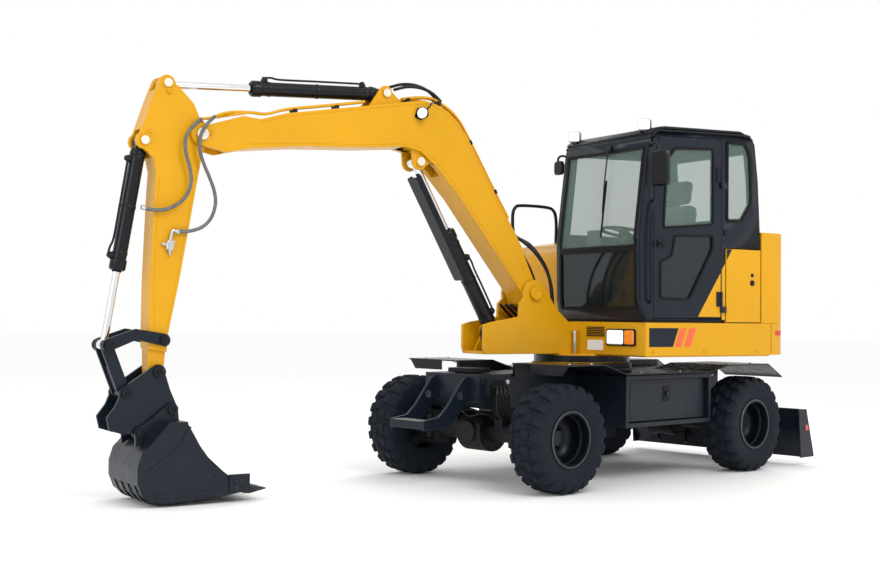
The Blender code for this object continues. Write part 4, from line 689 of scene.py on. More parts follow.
pipe_line = [(0.42, 0.49), (0.62, 0.64), (1.03, 0.955), (1.17, 1.040), (1.30, 1.072), (1.42, 1.074), (1.54, 1.028),
             (1.66, 0.958)]
pipes = [tube(raised(pipe_line, y), PIPE_RADIUS, sides=12) for y in (-0.09, -0.06, 0.065, 0.092)]
front_line = [(1.96, 0.098, 0.788), (2.02, 0.098, 0.750), (2.30, 0.098, 0.584), (2.52, 0.098, 0.454),
              (2.66, 0.104, 0.348), (2.78, 0.112, 0.300)]
pipes += [tube(front_line + [(2.88, 0.115, 0.256), (2.960, 0.130, 0.206), (3.011, 0.150, 0.161)],
               PIPE_RADIUS),
          tube([(x, y - 0.030 * (x < 2.6), z) for x, y, z in front_line] + [(2.90, 0.110, 0.225), (3.03, 0.107, 0.140),
                                                                          (3.097, 0.105, 0.100)], PIPE_RADIUS)]
build("boom_oil_pipes", pipes, YELLOW, "boom")
clamps = []
for x, z, lean in ((0.62, 0.632, 37), (0.98, 0.900, 37), (1.36, 1.062, 3), (1.62, 0.962, -30), (2.16, 0.642, -30),
                   (2.46, 0.466, -30)):
    dx, dz = math.cos(math.radians(lean)) * 0.018, math.sin(math.radians(lean)) * 0.018
    outline = soften([(x - dx - dz, z - dz + dx), (x - dx + dz * 0.9, z - dz - dx * 0.9),
                      (x + dx + dz * 0.9, z + dz - dx * 0.9), (x + dx - dz, z + dz + dx)], 0.006, 3)
    clamps.append(plate(outline, 0.045, 0.110, "y", 0.002))
    if x < 1.7:
        clamps.append(plate(outline, -0.110, -0.045, "y", 0.002))
build("boom_pipe_clamps", clamps, PLASTIC, "boom")

lamp_way = np.array((0.80, 0.55, -0.25))
lamp_way /= np.linalg.norm(lamp_way)
lamp_centre = np.array((1.50, BOOM_HALF + 0.054, 0.90))
build("boom_lamp_body", [turned([(0.020, -0.040), (0.036, -0.030), (0.046, 0.0), (0.048, 0.012), (0.044, 0.014)],
                                lamp_centre, lamp_way, 28),
                         brick((1.465, 1.535), (BOOM_HALF - 0.002, BOOM_HALF + 0.010), (0.86, 0.94), 0.012)], DARK,
      "boom")
build("boom_lamp_lens", [turned([(0.043, 0.010), (0.040, 0.018), (0.022, 0.024), (0.006, 0.025)], lamp_centre,
                                lamp_way, 28)], CLEAR_LENS, "boom")

block = [brick((0.775, 0.845), (ARM_HALF, ARM_HALF + 0.035), (0.055, 0.105), 0.006, 0.002),
         tube([(0.707, 0.118, 0.060), (0.707, 0.118, 0.082), (0.725, 0.115, 0.084), (0.790, 0.112, 0.084)], 0.010)]
block += [turned([(0.013, 0), (0.013, 0.025), (0.009, 0.029), (0.009, 0.04)], (x, ARM_HALF + 0.018, z), way, 6)
          for x, z, way in ((0.78, 0.082, (-1, 0, 0)), (0.84, 0.075, (1, 0, -0.3)), (0.81, 0.10, UP))]
block += [turned([(0.016, 0), (0.017, 0.003), (0.017, 0.028), (0.014, 0.031)], spot, way, 12)
          for spot, way in (((0.707, 0.115, 0.035), UP), ((0.599, 0.116, 0.300), UP))]
build("arm_pipe_block", block, STEEL, "arm")

hose_routes = {
    "hose_arm_upper": [(-0.105, 0.020), (-0.030, 0.085), (0.030, 0.116), (0.095, 0.121), (0.180, 0.094), (0.272, 0.047),
                       (0.359, 0.025), (0.447, 0.038), (0.523, 0.090), (0.581, 0.172), (0.602, 0.270), (0.597, 0.330)],
    "hose_arm_lower": [(-0.150, -0.075), (-0.060, -0.006), (0.029, 0.019), (0.119, 0.005), (0.201, -0.037),
                       (0.287, -0.098), (0.379, -0.155), (0.467, -0.180), (0.563, -0.168), (0.639, -0.118),
                       (0.687, -0.032), (0.707, 0.060)],
}


def hose(name, knots, where, radius, material):
    """A hose along its line, built in its place and baked into the row frame."""
    line = round_line(knots, 5)
    made = build(name, [sweep(line, ring(radius, 12))], material, None, where)
    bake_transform(made)


for name, route in hose_routes.items():
    count = len(route)
    knots = [(u, 0.150 - 0.035 * (k / (count - 1)) ** 3, v) for k, (u, v) in enumerate(route)]
    knots[0] = (route[0][0], 0.105, route[0][1])
    hose(name, knots, "arm", ARM_HOSE_RADIUS, GREY_HOSE)

foot_routes = {
    "hose_boom_left": [(0.835, 0.075, 2.010), (0.775, 0.095, 1.955), (0.70, 0.115, 1.905), (0.62, 0.135, 1.84),
                       (0.53, 0.145, 1.74), (0.465, 0.150, 1.62), (0.440, 0.150, 1.48), (0.435, 0.150, 1.36)],
    "hose_boom_middle": [(0.850, 0.045, 2.02), (0.79, 0.055, 1.975), (0.71, 0.070, 1.935), (0.62, 0.085, 1.89),
                         (0.53, 0.095, 1.80), (0.45, 0.100, 1.68), (0.40, 0.100, 1.52), (0.39, 0.100, 1.34)],
    "hose_boom_right": [(0.850, -0.055, 2.02), (0.79, -0.070, 1.97), (0.70, -0.085, 1.925), (0.60, -0.095, 1.86),
                        (0.51, -0.100, 1.75), (0.44, -0.100, 1.62), (0.40, -0.100, 1.48), (0.39, -0.100, 1.34)],
}
for name, route in foot_routes.items():
    hose(name, route, "upper", FOOT_HOSE_RADIUS, BLACK_HOSE)
loop = [(1.76, 0.098, 0.985), (1.66, 0.092, 1.060), (1.55, 0.092, 1.105), (1.44, 0.092, 1.115), (1.34, 0.092, 1.090)]
loops = [tube(loop, 0.012), tube([(x + 0.03, y - 0.03, z + 0.012) for x, y, z in loop], 0.012),
         tube([(1.42, 0.1235, 1.06), (1.44, 0.150, 1.03), (1.455, 0.155, 0.98), (1.47, 0.150, 0.95)], 0.006, sides=8)]
build("boom_crown_hoses", loops, BLACK_HOSE, "boom")


# ---------------------------------------------------------------- bucket, coupler and links
bucket_parts = []
for s in BOTH:
    for x, z in ((-0.50, -0.79), (-0.535, -0.745), (-0.49, -0.745)):
        bucket_parts += bolt((x, s * 0.314, z), (0, s, 0), 0.011)
    for x, z in ((-0.30, -0.70), (0.02, -0.42), (0.10, -0.60)):
        bucket_parts.append(cap((x, s * 0.30, z), (0, s, 0), 0.010, 0.004, 16))
build("bucket_bolts", bucket_parts, WORN_STEEL, "bucket")
strips = []
for y in (-0.20, -0.07, 0.07, 0.20):
    line = [(-0.50, y, -0.838), (-0.25, y, -0.861), (-0.02, y, -0.880), (0.09, y, -0.867), (0.155, y, -0.822),
            (0.19, y, -0.75)]
    strips.append(sweep(round_line(line, 5), [(-0.022, -0.006), (0.022, -0.006), (0.019, 0.006), (-0.019, 0.006)]))
build("bucket_wear_strips", strips, WORN_STEEL, "bucket")
lips = [brick((-0.645, -0.565), (-0.292, 0.292), (-0.822, -0.800), 0.004, 0.002)]
for number in range(5):
    y = (number - 2) * 0.1275
    outline = [(-0.56, -0.776), (-0.60, -0.778), (-0.735, -0.808), (-0.737, -0.816), (-0.61, -0.842), (-0.56, -0.838)]
    lips.append(plate(soften(outline, 0.01, 3), y - 0.030, y + 0.030, "y", 0.004))
build("bucket_teeth", lips, WORN_STEEL, "bucket")
crease = [[(-0.16, -0.36), (-0.10, -0.48), (0.05, -0.60), (0.13, -0.66)],
          [(-0.45, -0.80), (-0.20, -0.815), (0.08, -0.82)]]
build("bucket_side_ribs", [sweep(round_line(raised(line, s * 0.3005)),
                                 [(-0.0015, -0.012), (0.004, -0.012), (0.004, 0.012), (-0.0015, 0.012)])
                           for line in crease for s in BOTH], SLATE, "bucket")

ends = []
for x, z, reach, radius in ((0.0, 0.0, 0.125, 0.040), (-0.09, -0.253, 0.164, 0.034), (0.129, -0.403, 0.164, 0.034),
                            (0.222, -0.139, 0.131, 0.034)):
    for s in BOTH:
        ends.append(cap((x, s * reach, z), (0, s, 0), radius, 0.010))
        ends += bolt((x, s * (reach + 0.008), z), (0, s, 0), 0.008)
build("coupler_pin_ends", ends, DARK, "bucket")
for name, body, joint in (("idler_root_caps", "idler", "idler_swing"), ("idler_tip_caps", "idler", "link_swing")):
    centre = joint_at(joint)
    build_at(name, [cap(centre + ACROSS * s * 0.132, ACROSS * s, 0.032, 0.010) for s in BOTH], DARK, body)


# ---------------------------------------------------------------- cab
FRONT = [(0.105, 1.285), (0.135, 1.45), (0.145, 1.95), (0.055, 2.68), (0.035, 2.76)]


def front_x(z):
    """The X of the cab's front face at height z."""
    return float(np.interp(z, [p[1] for p in FRONT], [p[0] for p in FRONT]))


def gasket(corners, y, high):
    """A rubber seal round a window: a small flat profile carried round its rounded outline."""
    return sweep(raised(soften(corners, 0.03, 5), y), strip(0.006, high), (0, 1, 0), True)


def front_gasket(y, z, high=0.012):
    """The same round a windscreen opening, on the sloping front face."""
    up = np.linspace(z[0], z[1], 14)
    line = np.array([(front_x(h), y[1], h) for h in up] + [(front_x(h), y[0], h) for h in up[::-1]]) + (0.002, 0, 0)
    return sweep(line, [(-0.006, -high), (0.004, -high), (0.004, high), (-0.006, high)], (1, 0, 0), True)


SCREEN_Y = (-0.115, 0.835)
UPPER_SCREEN_Z, LOWER_SCREEN_Z = (1.868, 2.655), (1.375, 1.840)
build("screen_seals", [front_gasket(SCREEN_Y, UPPER_SCREEN_Z), front_gasket(SCREEN_Y, LOWER_SCREEN_Z)], SEAL, "upper")
LEFT, RIGHT = 0.895, -0.17        # the cab's side faces
ENGINE_DOOR_Y = 0.8985            # the engine door's outer face
quarter = [(-0.80, 2.11), (-0.96, 2.11), (-1.075, 2.27), (-1.055, 2.66), (-1.0, 2.76), (-0.80, 2.755)]
right_window = [(0.03, 2.0), (-0.05, 2.69), (-1.02, 2.72), (-1.09, 2.0)]
build("side_seals", [gasket(quarter, LEFT, 0.010), gasket(right_window, RIGHT, 0.010)], SEAL, "upper")
rear_soft = soften([(-0.07, 2.15), (0.795, 2.15), (0.795, 2.70), (-0.07, 2.70)], 0.03, 5)
rear_window_x = np.interp(rear_soft[:, 1], [1.885, 2.45, 2.76], [-1.19, -1.155, -1.115]) - 0.002
build("rear_seal", [sweep(np.stack([rear_window_x, rear_soft[:, 0], rear_soft[:, 1]], -1),
                          strip(0.006, 0.010), (1, 0, 0), True)],
      SEAL, "upper")
upper_door = [(-0.10, 2.02), (-0.64, 2.07), (-0.64, 2.69), (-0.215, 2.665), (-0.13, 2.55)]
lower_door = [(-0.07, 1.46), (-0.38, 1.45), (-0.64, 1.87), (-0.64, 1.98), (-0.22, 1.96), (-0.19, 1.80), (-0.07, 1.75)]
build("door_seals", [gasket(upper_door, LEFT, 0.009), gasket(lower_door, LEFT, 0.009)], SEAL, "cab_door", "upper")

door_trim = [plate(soften([(-0.728, 1.315), (-0.728, 1.676), (-0.478, 1.315)], 0.012, 3), LEFT, LEFT + 0.0022, "y",
                   0.0006)]
build("door_yellow_corner", door_trim, YELLOW, "cab_door", "upper")
build("post_yellow_strip", [plate([(-0.779, 1.292), (-0.742, 1.292), (-0.742, 1.702), (-0.779, 1.758)], LEFT,
                                  LEFT + 0.0022, "y", 0.0006)], YELLOW, "upper")
build("engine_door_dark_corner", [plate([(-0.795, 1.784), (-0.795, 1.874), (-0.855, 1.874)], ENGINE_DOOR_Y, 0.9005, "y",
                                        0.0004)], SLATE, "engine_door", "upper")

handle = [brick((-0.115, -0.035), (LEFT, LEFT + 0.012), (1.86, 1.925), 0.012, 0.003),
          tube([(-0.105, LEFT + 0.008, 1.89), (-0.10, LEFT + 0.030, 1.892), (-0.07, LEFT + 0.034, 1.893),
                (-0.05, LEFT + 0.030, 1.892), (-0.045, LEFT + 0.010, 1.89)], 0.007, UP)]
build("door_handle", handle, DARK, "cab_door", "upper")
grab = tube([(0.045, LEFT - 0.004, 1.42), (0.050, LEFT + 0.030, 1.45), (0.055, LEFT + 0.034, 1.60),
             (0.058, LEFT + 0.034, 2.00), (0.030, LEFT + 0.030, 2.20), (0.022, LEFT - 0.004, 2.23)], 0.011, (1, 0, 0))
build("door_grab_rail", [grab], DARK, "upper")
latch = [brick((-0.815, -0.765), (LEFT + 0.001, LEFT + 0.010), (1.985, 2.035), 0.010, 0.002)]
build("door_hold_back", latch, DARK, "upper")

roof = [(-1.10, 2.800), (-0.955, 2.862), (-0.10, 2.832), (-0.015, 2.816), (0.045, 2.770), (0.030, 2.752),
        (-0.03, 2.790), (-0.10, 2.806), (-0.95, 2.836), (-1.09, 2.790)]
build("roof_cap", [plate(soften(roof, 0.02, 3), RIGHT - 0.006, LEFT + 0.006, "y", 0.006)], DARK, "upper",
      angle=50)
gutter = [(0.040, 2.735), (-0.02, 2.782), (-0.10, 2.795), (-0.95, 2.826), (-1.05, 2.812)]
build("roof_gutters", [tube(raised(gutter, y), 0.009, sides=8) for y in (LEFT + 0.004, RIGHT - 0.004)],
      DARK, "upper")

for name, y in (("right", -0.09), ("left", 0.80)):
    turn = ((0.020, y, 2.842), UP, 38)
    body = [swung(brick((-0.020, 0.045), (y - 0.050, y + 0.050), (2.797, 2.887), 0.016, 0.005, "x"), *turn),
            brick((-0.060, 0.02), (y - 0.014, y + 0.014), (2.785, 2.812), 0.004, 0.001)]
    build(f"roof_lamp_{name}", body, GREY_PLASTIC, "upper")
    lens = swung(brick((0.042, 0.054), (y - 0.045, y + 0.045), (2.802, 2.882), 0.014, 0.004, "x"), *turn)
    build(f"roof_lamp_lens_{name}", [lens], CLEAR_LENS, "upper")

wiper = [tube([(front_x(2.66) + 0.022, 0.42, 2.665), (front_x(2.4) + 0.028, 0.425, 2.40),
               (front_x(2.15) + 0.022, 0.43, 2.15)], 0.006, sides=8),
         sweep([(front_x(2.42) + 0.013, 0.43, 2.42), (front_x(2.2) + 0.013, 0.43, 2.20),
                (front_x(1.95) + 0.013, 0.43, 1.95)], strip(0.004, 0.007)),
         brick((front_x(2.68), front_x(2.68) + 0.030), (0.38, 0.46), (2.660, 2.705), 0.010, 0.004)]
build("screen_wiper", wiper, DARK, "upper")

mirror_turn = ((0.045, LEFT + 0.124, 2.475), UP, 16)
mirror_shell = swung(brick((0.018, 0.072), (LEFT + 0.048, LEFT + 0.200), (2.335, 2.615), 0.035, 0.012, "x"),
                     *mirror_turn)
mirror_arm = tube([(0.030, LEFT - 0.006, 2.66), (0.045, LEFT + 0.040, 2.68), (0.050, LEFT + 0.095, 2.672),
                   (0.048, LEFT + 0.12, 2.60)], 0.010, (1, 0, 0))
left_mirror = build("mirror_housing_left", [mirror_shell, mirror_arm], DARK, "upper")
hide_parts("mirror_left")
mirror_face = swung(brick((0.0145, 0.0185), (LEFT + 0.060, LEFT + 0.188), (2.350, 2.600), 0.028, 0.001, "x"),
                    *mirror_turn)
build("mirror_face_left", [mirror_face], MIRROR, "upper")
right_shell = brick((0.030, 0.070), (RIGHT - 0.150, RIGHT - 0.040), (2.53, 2.65), 0.030, 0.010, "x")
right_arm = tube([(0.020, RIGHT + 0.006, 2.66), (0.045, RIGHT - 0.040, 2.69), (0.052, RIGHT - 0.10, 2.68),
                  (0.052, RIGHT - 0.11, 2.62)], 0.010, (1, 0, 0))
build("mirror_housing_right", [right_shell, right_arm], DARK, "upper")
build("mirror_face_right", [brick((0.0265, 0.031), (RIGHT - 0.142, RIGHT - 0.048), (2.54, 2.64), 0.024, 0.001, "x")],
      MIRROR, "upper")


# ---------------------------------------------------------------- cab interior
PAD_VOXEL = 0.008
CLOTH_STEPS = 12
PAD_SWELL = 0.012          # the most that a pad's surface may move outwards


def pad(name, x, y, z, lean=0.0):
    """A seat pad: a rounded block, blown up as cloth, with its swelling capped."""
    middle = ((x[0] + x[1]) / 2, (y[0] + y[1]) / 2, (z[0] + z[1]) / 2)
    shell = swung(brick(x, y, z, 0.05, 0.02, "z" if z[1] - z[0] < x[1] - x[0] else "x"), middle, (0, -1, 0), lean)
    made = build(name, [shell], SEAT_CLOTH, None, "upper", 80)
    remesh = made.modifiers.new("Remesh", "REMESH")
    remesh.mode = "VOXEL"
    remesh.voxel_size = PAD_VOXEL
    depsgraph = bpy.context.evaluated_depsgraph_get()
    made.data = bpy.data.meshes.new_from_object(made.evaluated_get(depsgraph))
    made.modifiers.clear()
    before = np.array([v.co for v in made.data.vertices])
    pillow = made.modifiers.new("Cloth", "CLOTH")
    pillow.settings.use_pressure = True
    pillow.settings.uniform_pressure_force = 4.0
    pillow.settings.effector_weights.gravity = 0.0
    for step in range(1, CLOTH_STEPS + 1):
        bpy.context.scene.frame_set(step)
    depsgraph = bpy.context.evaluated_depsgraph_get()
    after = np.array([v.co for v in made.evaluated_get(depsgraph).data.vertices])
    made.modifiers.clear()
    move = after - before
    length = np.maximum(np.linalg.norm(move, axis=1), 1e-9)
    move *= np.minimum(1, PAD_SWELL / length)[:, None]
    made.data.vertices.foreach_set("co", (before + move).astype(np.float32).ravel())
    made.data.update()
    made.data.materials.clear()
    made.data.materials.append(SEAT_CLOTH)
    made.data.shade_smooth()
    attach(made, "upper")
    return made


cushion = pad("seat_cushion", (-0.655, -0.175), (0.155, 0.605), (1.515, 1.615))
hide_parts("seat")
BACK_LEAN = 13
pad("seat_back", (-0.700, -0.600), (0.155, 0.605), (1.65, 2.26), BACK_LEAN)
pad("seat_headrest", (-0.795, -0.715), (0.25, 0.51), (2.27, 2.47), 9)
bpy.context.scene.frame_set(1)

levers = []
for y in (0.02, 0.70):
    levers.append(tube([(-0.16, y, 1.70), (-0.155, y, 1.80), (-0.145, y, 1.865)], 0.010))
    levers.append(turned([(0.010, -0.01), (0.020, 0.0), (0.023, 0.03), (0.022, 0.075), (0.024, 0.095), (0.016, 0.108)],
                         (-0.146, y, 1.86), (0.08, 0, 1), 18))
    levers.append(turned([(0.030, 0.0), (0.024, 0.02), (0.017, 0.035), (0.013, 0.055)], (-0.16, y, 1.665), UP, 18))
levers.append(brick((-0.50, -0.10), (0.645, 0.745), (1.60, 1.668), 0.02, 0.006, "z"))
levers.append(brick((-0.47, -0.20), (0.655, 0.735), (1.335, 1.61), 0.03, 0.006, "z"))
levers += [tube([(-0.02, y, 1.30), (0.000, y, 1.40), (-0.02, y, 1.62)], 0.009) for y in (0.32, 0.45)]
levers += [brick((-0.055, 0.035), (y - 0.035, y + 0.035), (1.305, 1.325), 0.01, 0.003, "z") for y in (0.30, 0.47)]
build("control_levers", levers, PLASTIC, "upper")
display = [brick((-0.145, -0.115), (-0.085, 0.085), (1.915, 2.045), 0.015, 0.006, "x"),
           brick((-0.14, -0.12), (-0.02, 0.02), (1.88, 1.93), 0.01, 0.003, "x")]
build("dash_display", display, GREY_PLASTIC, "upper")
seat_frame = [brick((-0.64, -0.20), (0.18, 0.58), (1.498, 1.512), 0.03, 0.003, "z"),
              swung(brick((-0.735, -0.700), (0.20, 0.56), (1.92, 2.24), 0.04, 0.008, "x"), (-0.65, 0.38, 1.955),
                    (0, -1, 0), BACK_LEAN)]
build("seat_shell", seat_frame, PLASTIC, "upper")


# ---------------------------------------------------------------- upper body trim
SIDE = 0.898
FRONT_X, NOSE_X, NOSE_Y = 0.08, 0.19, 0.165
FILM, FILM_EDGE = 0.0018, 0.0004      # thickness and eased edge of a stuck-on film


def on_front(share, z):
    """A point on the slanting front face left of the boom: share 0 at the outer corner, 1 at the nose."""
    return np.array((FRONT_X + (NOSE_X - FRONT_X) * share, SIDE + (NOSE_Y - SIDE) * share, z))


def front_panel(shares, z, low, high, corner=0.008, edge=0.0015):
    """A panel laid on the slanting front face."""
    a, b = on_front(shares[0], 0), on_front(shares[1], 0)
    length = np.linalg.norm(b - a)
    outline = soften([(0, z[0]), (length, z[0]), (length, z[1]), (0, z[1])], corner, 3)
    points, faces = plate(outline, low, high, "y", edge)
    direction = (b - a) / length
    normal = np.cross(direction, (0, 0, 1.0))
    normal *= 1 if normal[0] > 0 else -1
    placed = a + points[:, :1] * direction + points[:, 1:2] * normal + points[:, 2:] * np.array((0, 0, 1.0))
    return outward(placed, faces)


build("headlamp_housing", [front_panel((0.13, 0.55), (1.075, 1.212), 0.0, 0.014, 0.02, 0.004)], DARK, "upper")
build("headlamp_lens", [front_panel((0.30, 0.53), (1.088, 1.200), 0.010, 0.022, 0.016, 0.005)], CLEAR_LENS, "upper")
build("headlamp_indicator", [front_panel((0.15, 0.285), (1.088, 1.200), 0.010, 0.021, 0.016, 0.005)], AMBER_LENS,
      "upper")
build("front_data_plate", [front_panel((0.60, 0.83), (1.035, 1.118), 0.0, 0.003, 0.006, 0.0008)], WHITE, "upper")
slats = [front_panel((0.58, 0.84), (1.148 + 0.014 * k, 1.156 + 0.014 * k), 0.0, 0.007, 0.003, 0.001) for k in range(6)]
build("front_vent", slats, DARK, "upper")
build("lock_pin", [turned([(0.012, 0.0), (0.014, 0.005), (0.014, 0.17), (0.020, 0.172), (0.020, 0.190), (0.010, 0.196)],
                          (0.235, 0.20, 1.0), UP, 20)], STEEL, "upper")
build("side_band", [plate([(0.045, 1.072), (0.045, 1.222), (-0.265, 1.222), (-0.205, 1.072)], SIDE, SIDE + FILM, "y",
                          FILM_EDGE)], SLATE, "upper")
build("slew_ring_sleeve", [turned([(0.398, 0.931), (0.404, 0.935), (0.404, 0.982), (0.398, 0.988)],
                                   (0, 0, 0), UP, 64)], DARK, "upper")
stripes = []
for start in (-0.225, -0.325):
    stripes.append(plate([(start, 1.072), (start - 0.060, 1.222), (start - 0.130, 1.222), (start - 0.070, 1.072)], SIDE,
                         SIDE + FILM, "y", FILM_EDGE))
build("side_stripes", stripes, ORANGE, "upper")
build("side_reflector", [plate(soften([(-1.43, 1.165), (-1.37, 1.165), (-1.37, 1.205), (-1.43, 1.205)], 0.008, 3), SIDE,
                               SIDE + 0.006, "y", 0.002)], RED_LENS, "upper")
door_catch = [turned([(0.024, 0), (0.024, 0.006), (0.018, 0.009), (0.012, 0.004), (0.005, 0.004)],
                     (-1.09, ENGINE_DOOR_Y, 1.60), (0, 1, 0), 28),
              turned([(0.016, 0), (0.016, 0.004), (0.008, 0.006)], (-1.09, ENGINE_DOOR_Y, 1.665), (0, 1, 0))]
build("engine_door_latch", door_catch, DARK, "engine_door", "upper")
seam = [(-1.318, SIDE - 0.0005, z) for z in (1.262, 1.010)]
build("frame_seam", [sweep(seam, strip(0.001, 0.002))], SEAL, "upper")
bolts = []
for x in (0.0, -0.55, -1.15):
    bolts += bolt((x, SIDE, 1.035), (0, 1, 0), 0.011) + bolt((x, -SIDE, 1.035), (0, -1, 0), 0.011)
for z in (1.04, 1.22):
    for y in (-0.62, 0.62):
        bolts += bolt((-1.552, y, z), (-0.93, 0.3 * np.sign(y), 0), 0.016)
build("frame_bolts", bolts, YELLOW, "upper")

rail = [(0.10, 1.90), (0.145, 2.04), (0.155, 2.20), (0.13, 2.275), (0.06, 2.300), (-0.20, 2.300), (-0.30, 2.275),
        (-0.335, 2.18), (-0.335, 1.975)]
build("hand_rail", [tube(raised(rail, -0.80), 0.015, sides=14),
                    turned([(0.034, 0), (0.034, 0.006), (0.017, 0.010)], (-0.335, -0.80, 1.962), UP, 20)], DARK,
      "upper")
def rear_x(y):
    """The X of the counterweight's curved rear at y."""
    return -1.64 + 0.16 * (y / 0.858) ** 2


grille = []
for level in range(7):
    z = 1.42 + level * 0.055
    y = np.linspace(-0.46, 0.46, 13)
    x = rear_x(y) - 0.001
    line = np.stack([x, y, np.full(13, z)], -1)
    grille.append(sweep(line, [(-0.016, 0.0), (0.016, 0.0), (0.012, 0.008), (-0.012, 0.008)], UP))
# the slats are real; their near-black paint is painted shade of the recessed rear grille
build("rear_door_louvres_painted_shade", grille, DARK, "rear_door", "upper")
build("rear_door_latch", [turned([(0.026, 0), (0.026, 0.006), (0.014, 0.010)], (-1.6, 0.50, 1.60), (-1, 0, 0), 24)],
      DARK, "rear_door", "upper")
for s, name in SIDES:
    y0 = s * 0.66
    x0 = rear_x(abs(y0))
    build(f"tail_lamp_{name}", [brick((x0 - 0.014, x0 + 0.03), (y0 - 0.04, y0 + 0.04), (1.12, 1.20),
                                      0.012, 0.004, "x")], RED_LENS, "upper")
build("fuel_cap", [turned([(0.045, 0), (0.045, 0.018), (0.038, 0.024), (0.02, 0.026)], (-0.35, -0.45, 1.975), UP, 28)],
      DARK, "upper")
stack = [(0.030, 0.0), (0.036, 0.004), (0.036, 0.09), (0.033, 0.095), (0.028, 0.05)]
build("exhaust_pipe", [turned(stack, (-1.36, -0.45, 2.03), UP, 28)], CASTING, "upper")
slots = [brick((-0.60 - k * 0.05, -0.575 - k * 0.05), (-SIDE - 0.004, -SIDE), (1.45, 1.75), 0.010, 0.002)
         for k in range(8)]
build("right_hood_louvres", slots, DARK, "upper")

mount_hoses = [tube([(0.30, y, 1.08), (0.45, y * 1.1, 1.12), (0.60, y * 1.05, 1.24), (0.72, y * 0.9, 1.34),
                     (0.80, y * 0.7, 1.40)], 0.012) for y in (-0.10, 0.0, 0.10)]
build("frame_hoses", mount_hoses, BLACK_HOSE, "upper")


# ---------------------------------------------------------------- undercarriage trim
under = []
for s in BOTH:
    for x, z in ((1.05, 0.945), (0.80, 0.945), (0.20, 0.866), (-0.30, 0.866), (-0.95, 0.915), (-1.30, 0.915)):
        under += bolt((x, s * 0.80, z), UP, 0.009)
    for x in (1.44, 1.20, -1.20, -1.44):
        under += bolt((x, s * 0.30, 0.80), (0, s, 0), 0.013)
build("undercarriage_bolts", under, STEEL, "chassis")
for s, name in SIDES:
    latch_plate = [brick((-0.19, -0.10), sorted((s * 0.781, s * 0.787)), (0.63, 0.75), 0.012, 0.002),
                   turned([(0.018, 0), (0.018, 0.008), (0.010, 0.012)], (-0.145, s * 0.786, 0.70), (0, s, 0), 20)]
    build(f"tool_box_latch_{name}", latch_plate, CASTING, f"tool_box_door_{name}", "machine")
    rim = soften([(-0.60, 0.51), (0.31, 0.51), (0.31, 0.78), (-0.60, 0.78)], 0.03, 4)
    build(f"tool_box_door_swage_{name}", [sweep(raised(rim, s * 0.7815), strip(0.002, 0.006), (0, 1, 0), True)], SLATE,
          f"tool_box_door_{name}", "machine")

tread = []
for k in range(9):
    y = -0.14 + k * 0.035
    tread.append(brick((1.84, 1.95), (y - 0.006, y + 0.006), (0.519, 0.526), 0.002, 0.001, "z"))
build("step_tread_bars", tread, STEEL, "chassis")

valves = [brick((1.22, 1.42), (-0.14, 0.14), (0.865, 0.90), 0.012, 0.004, "z"),
          brick((1.30, 1.46), (0.302, 0.36), (0.70, 0.82), 0.010, 0.003)]
valves += [turned([(0.016, 0), (0.016, 0.03), (0.011, 0.034), (0.011, 0.05)], (1.30 + 0.04 * k, 0.36, 0.77),
                  (0, 1, 0), 6) for k in range(4)]
build("brake_valves", valves, CASTING, "chassis")
lines = []
for k in range(4):
    x = 1.30 + 0.04 * k
    lines.append(tube([(x, 0.385, 0.77), (x + 0.02, 0.43, 0.765), (x + 0.04, 0.45, 0.70), (x - 0.02, 0.40, 0.58),
                       (1.20 + 0.02 * k, 0.33, 0.52), (1.16 + 0.015 * k, 0.28, 0.47)], 0.010, UP, 10))
lines.append(tube([(1.505, -0.10, 0.60), (1.42, -0.05, 0.56), (1.33, 0.03, 0.58), (1.24, 0.12, 0.53)], 0.010, UP))
lines.append(tube([(1.505, 0.10, 0.60), (1.43, 0.12, 0.54), (1.35, 0.20, 0.56), (1.22, 0.24, 0.50)], 0.010, UP))
build("front_axle_hoses", lines, BLACK_HOSE, "chassis")
STEER_SPOT = (1.03, 0, 0.37)
steer = [turned([(0.024, -0.20), (0.030, -0.19), (0.030, 0.19), (0.024, 0.20)], STEER_SPOT, (0, 1, 0)),
         brick((1.00, 1.09), (-0.05, 0.05), (0.345, 0.395), 0.01, 0.003)]
build("steering_cylinder", steer, CASTING, "chassis")
rod = turned([(0.012, -0.42), (0.014, -0.41), (0.014, 0.41), (0.012, 0.42)], STEER_SPOT, (0, 1, 0), 16)
build("steering_rods", [rod], CHROME, "chassis")
axle_bolts = []
for x in (1.175, -1.175):
    axle_bolts += bolt_circle(np.array((x, 0.13, 0.405)), (0, 1, 0), 0.135, 10, 0.008)
build("axle_bolts", axle_bolts, CASTING, "chassis")

ribs = []
outline = soften([(-1.87, 0.47), (-1.845, 0.46), (-1.825, 0.28), (-1.845, 0.12), (-1.885, 0.10), (-1.865, 0.28)],
                 0.01, 3)
for s in BOTH:
    for y in (0.30, 0.62):
        ribs.append(plate(outline, *sorted((s * y - 0.008, s * y + 0.008)), "y", 0.002))
build("blade_ribs", ribs, SLATE, "blade", "machine")
cutter = [(-1.985, 0.068), (-1.965, 0.068), (-1.935, 0.155), (-1.950, 0.158)]
build("blade_edge", [plate(cutter, -0.94, 0.94)], WORN_STEEL, "blade", "machine")
build("blade_reflectors", [plate(soften([(-1.995, 0.31), (-1.945, 0.31), (-1.945, 0.36), (-1.975, 0.36)], 0.006, 3),
                                 *sorted((s * 0.950, s * 0.954)), "y", 0.001) for s in BOTH], RED_LENS, "blade",
      "machine")


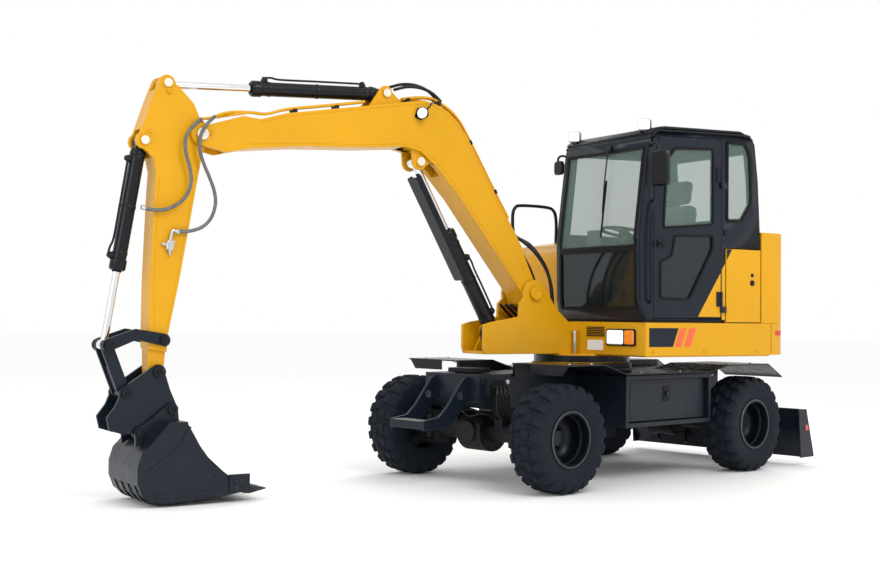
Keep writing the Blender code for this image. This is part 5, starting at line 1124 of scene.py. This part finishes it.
# ---------------------------------------------------------------- floor, light and camera
FLOOR_HALF = 60.0
floor_mesh = bpy.data.meshes.new("studio_floor")
corners = np.array([(-1, -1, 0), (1, -1, 0), (1, 1, 0), (-1, 1, 0)], float) * FLOOR_HALF
floor_mesh.from_pydata(corners.tolist(), [], [[0, 1, 2, 3]])
floor_mesh.materials.append(finish("studio_floor", (0.96, 0.96, 0.96), 0.85, patches=(0.5, 0.01), grain=(30, 0.02)))
floor = bpy.data.objects.new("studio_floor", floor_mesh)
scene = bpy.context.scene
scene.collection.objects.link(floor)
world = bpy.data.worlds.new("studio")
scene.world = world
world.use_nodes = True
world.node_tree.nodes["Background"].inputs["Color"].default_value = (1.0, 1.0, 1.0, 1.0)
world.node_tree.nodes["Background"].inputs["Strength"].default_value = 1.0
scene.view_settings.view_transform = "Standard"


def soft_light(name, spot, aim, size, power):
    """A rectangular lamp at a spot, turned to its aim."""
    data = bpy.data.lights.new(name, "AREA")
    data.shape = "RECTANGLE"
    data.size, data.size_y = size
    data.energy = power
    made = bpy.data.objects.new(name, data)
    scene.collection.objects.link(made)
    made.location = spot
    direction = np.array(aim, float) - np.array(spot, float)
    made.rotation_euler = Vector(direction).to_track_quat("-Z", "Y").to_euler()


soft_light("key_light", (2.5, 8.5, 8.5), (0, 0, 1.0), (5.0, 4.0), 420)
soft_light("front_fill", (9.5, 1.0, 4.0), (0.5, 0, 1.2), (4.0, 4.0), 120)
soft_light("back_light", (-8.0, -3.0, 6.0), (0, 0, 1.5), (5.0, 3.0), 220)

CAMERA_SPOT = GROUND + (8.27, 7.22, 1.304)
YAW, PITCH, ROLL = math.radians(-132.57), math.radians(1.40), math.radians(0.60)
camera_data = bpy.data.cameras.new("camera")
camera_data.lens = 52.6
camera_data.sensor_width = 36.0
camera = bpy.data.objects.new("camera", camera_data)
scene.collection.objects.link(camera)
forward = np.array((math.cos(PITCH) * math.cos(YAW), math.cos(PITCH) * math.sin(YAW), math.sin(PITCH)))
right = np.cross(forward, (0, 0, 1.0))
right /= np.linalg.norm(right)
upward = np.cross(right, forward)
right_rolled = math.cos(ROLL) * right + math.sin(ROLL) * upward
up_rolled = np.cross(right_rolled, forward)
pose = np.eye(4)
pose[:3, 0], pose[:3, 1], pose[:3, 2], pose[:3, 3] = right_rolled, up_rolled, -forward, CAMERA_SPOT
camera.matrix_world = Matrix(pose.tolist())
scene.camera = camera
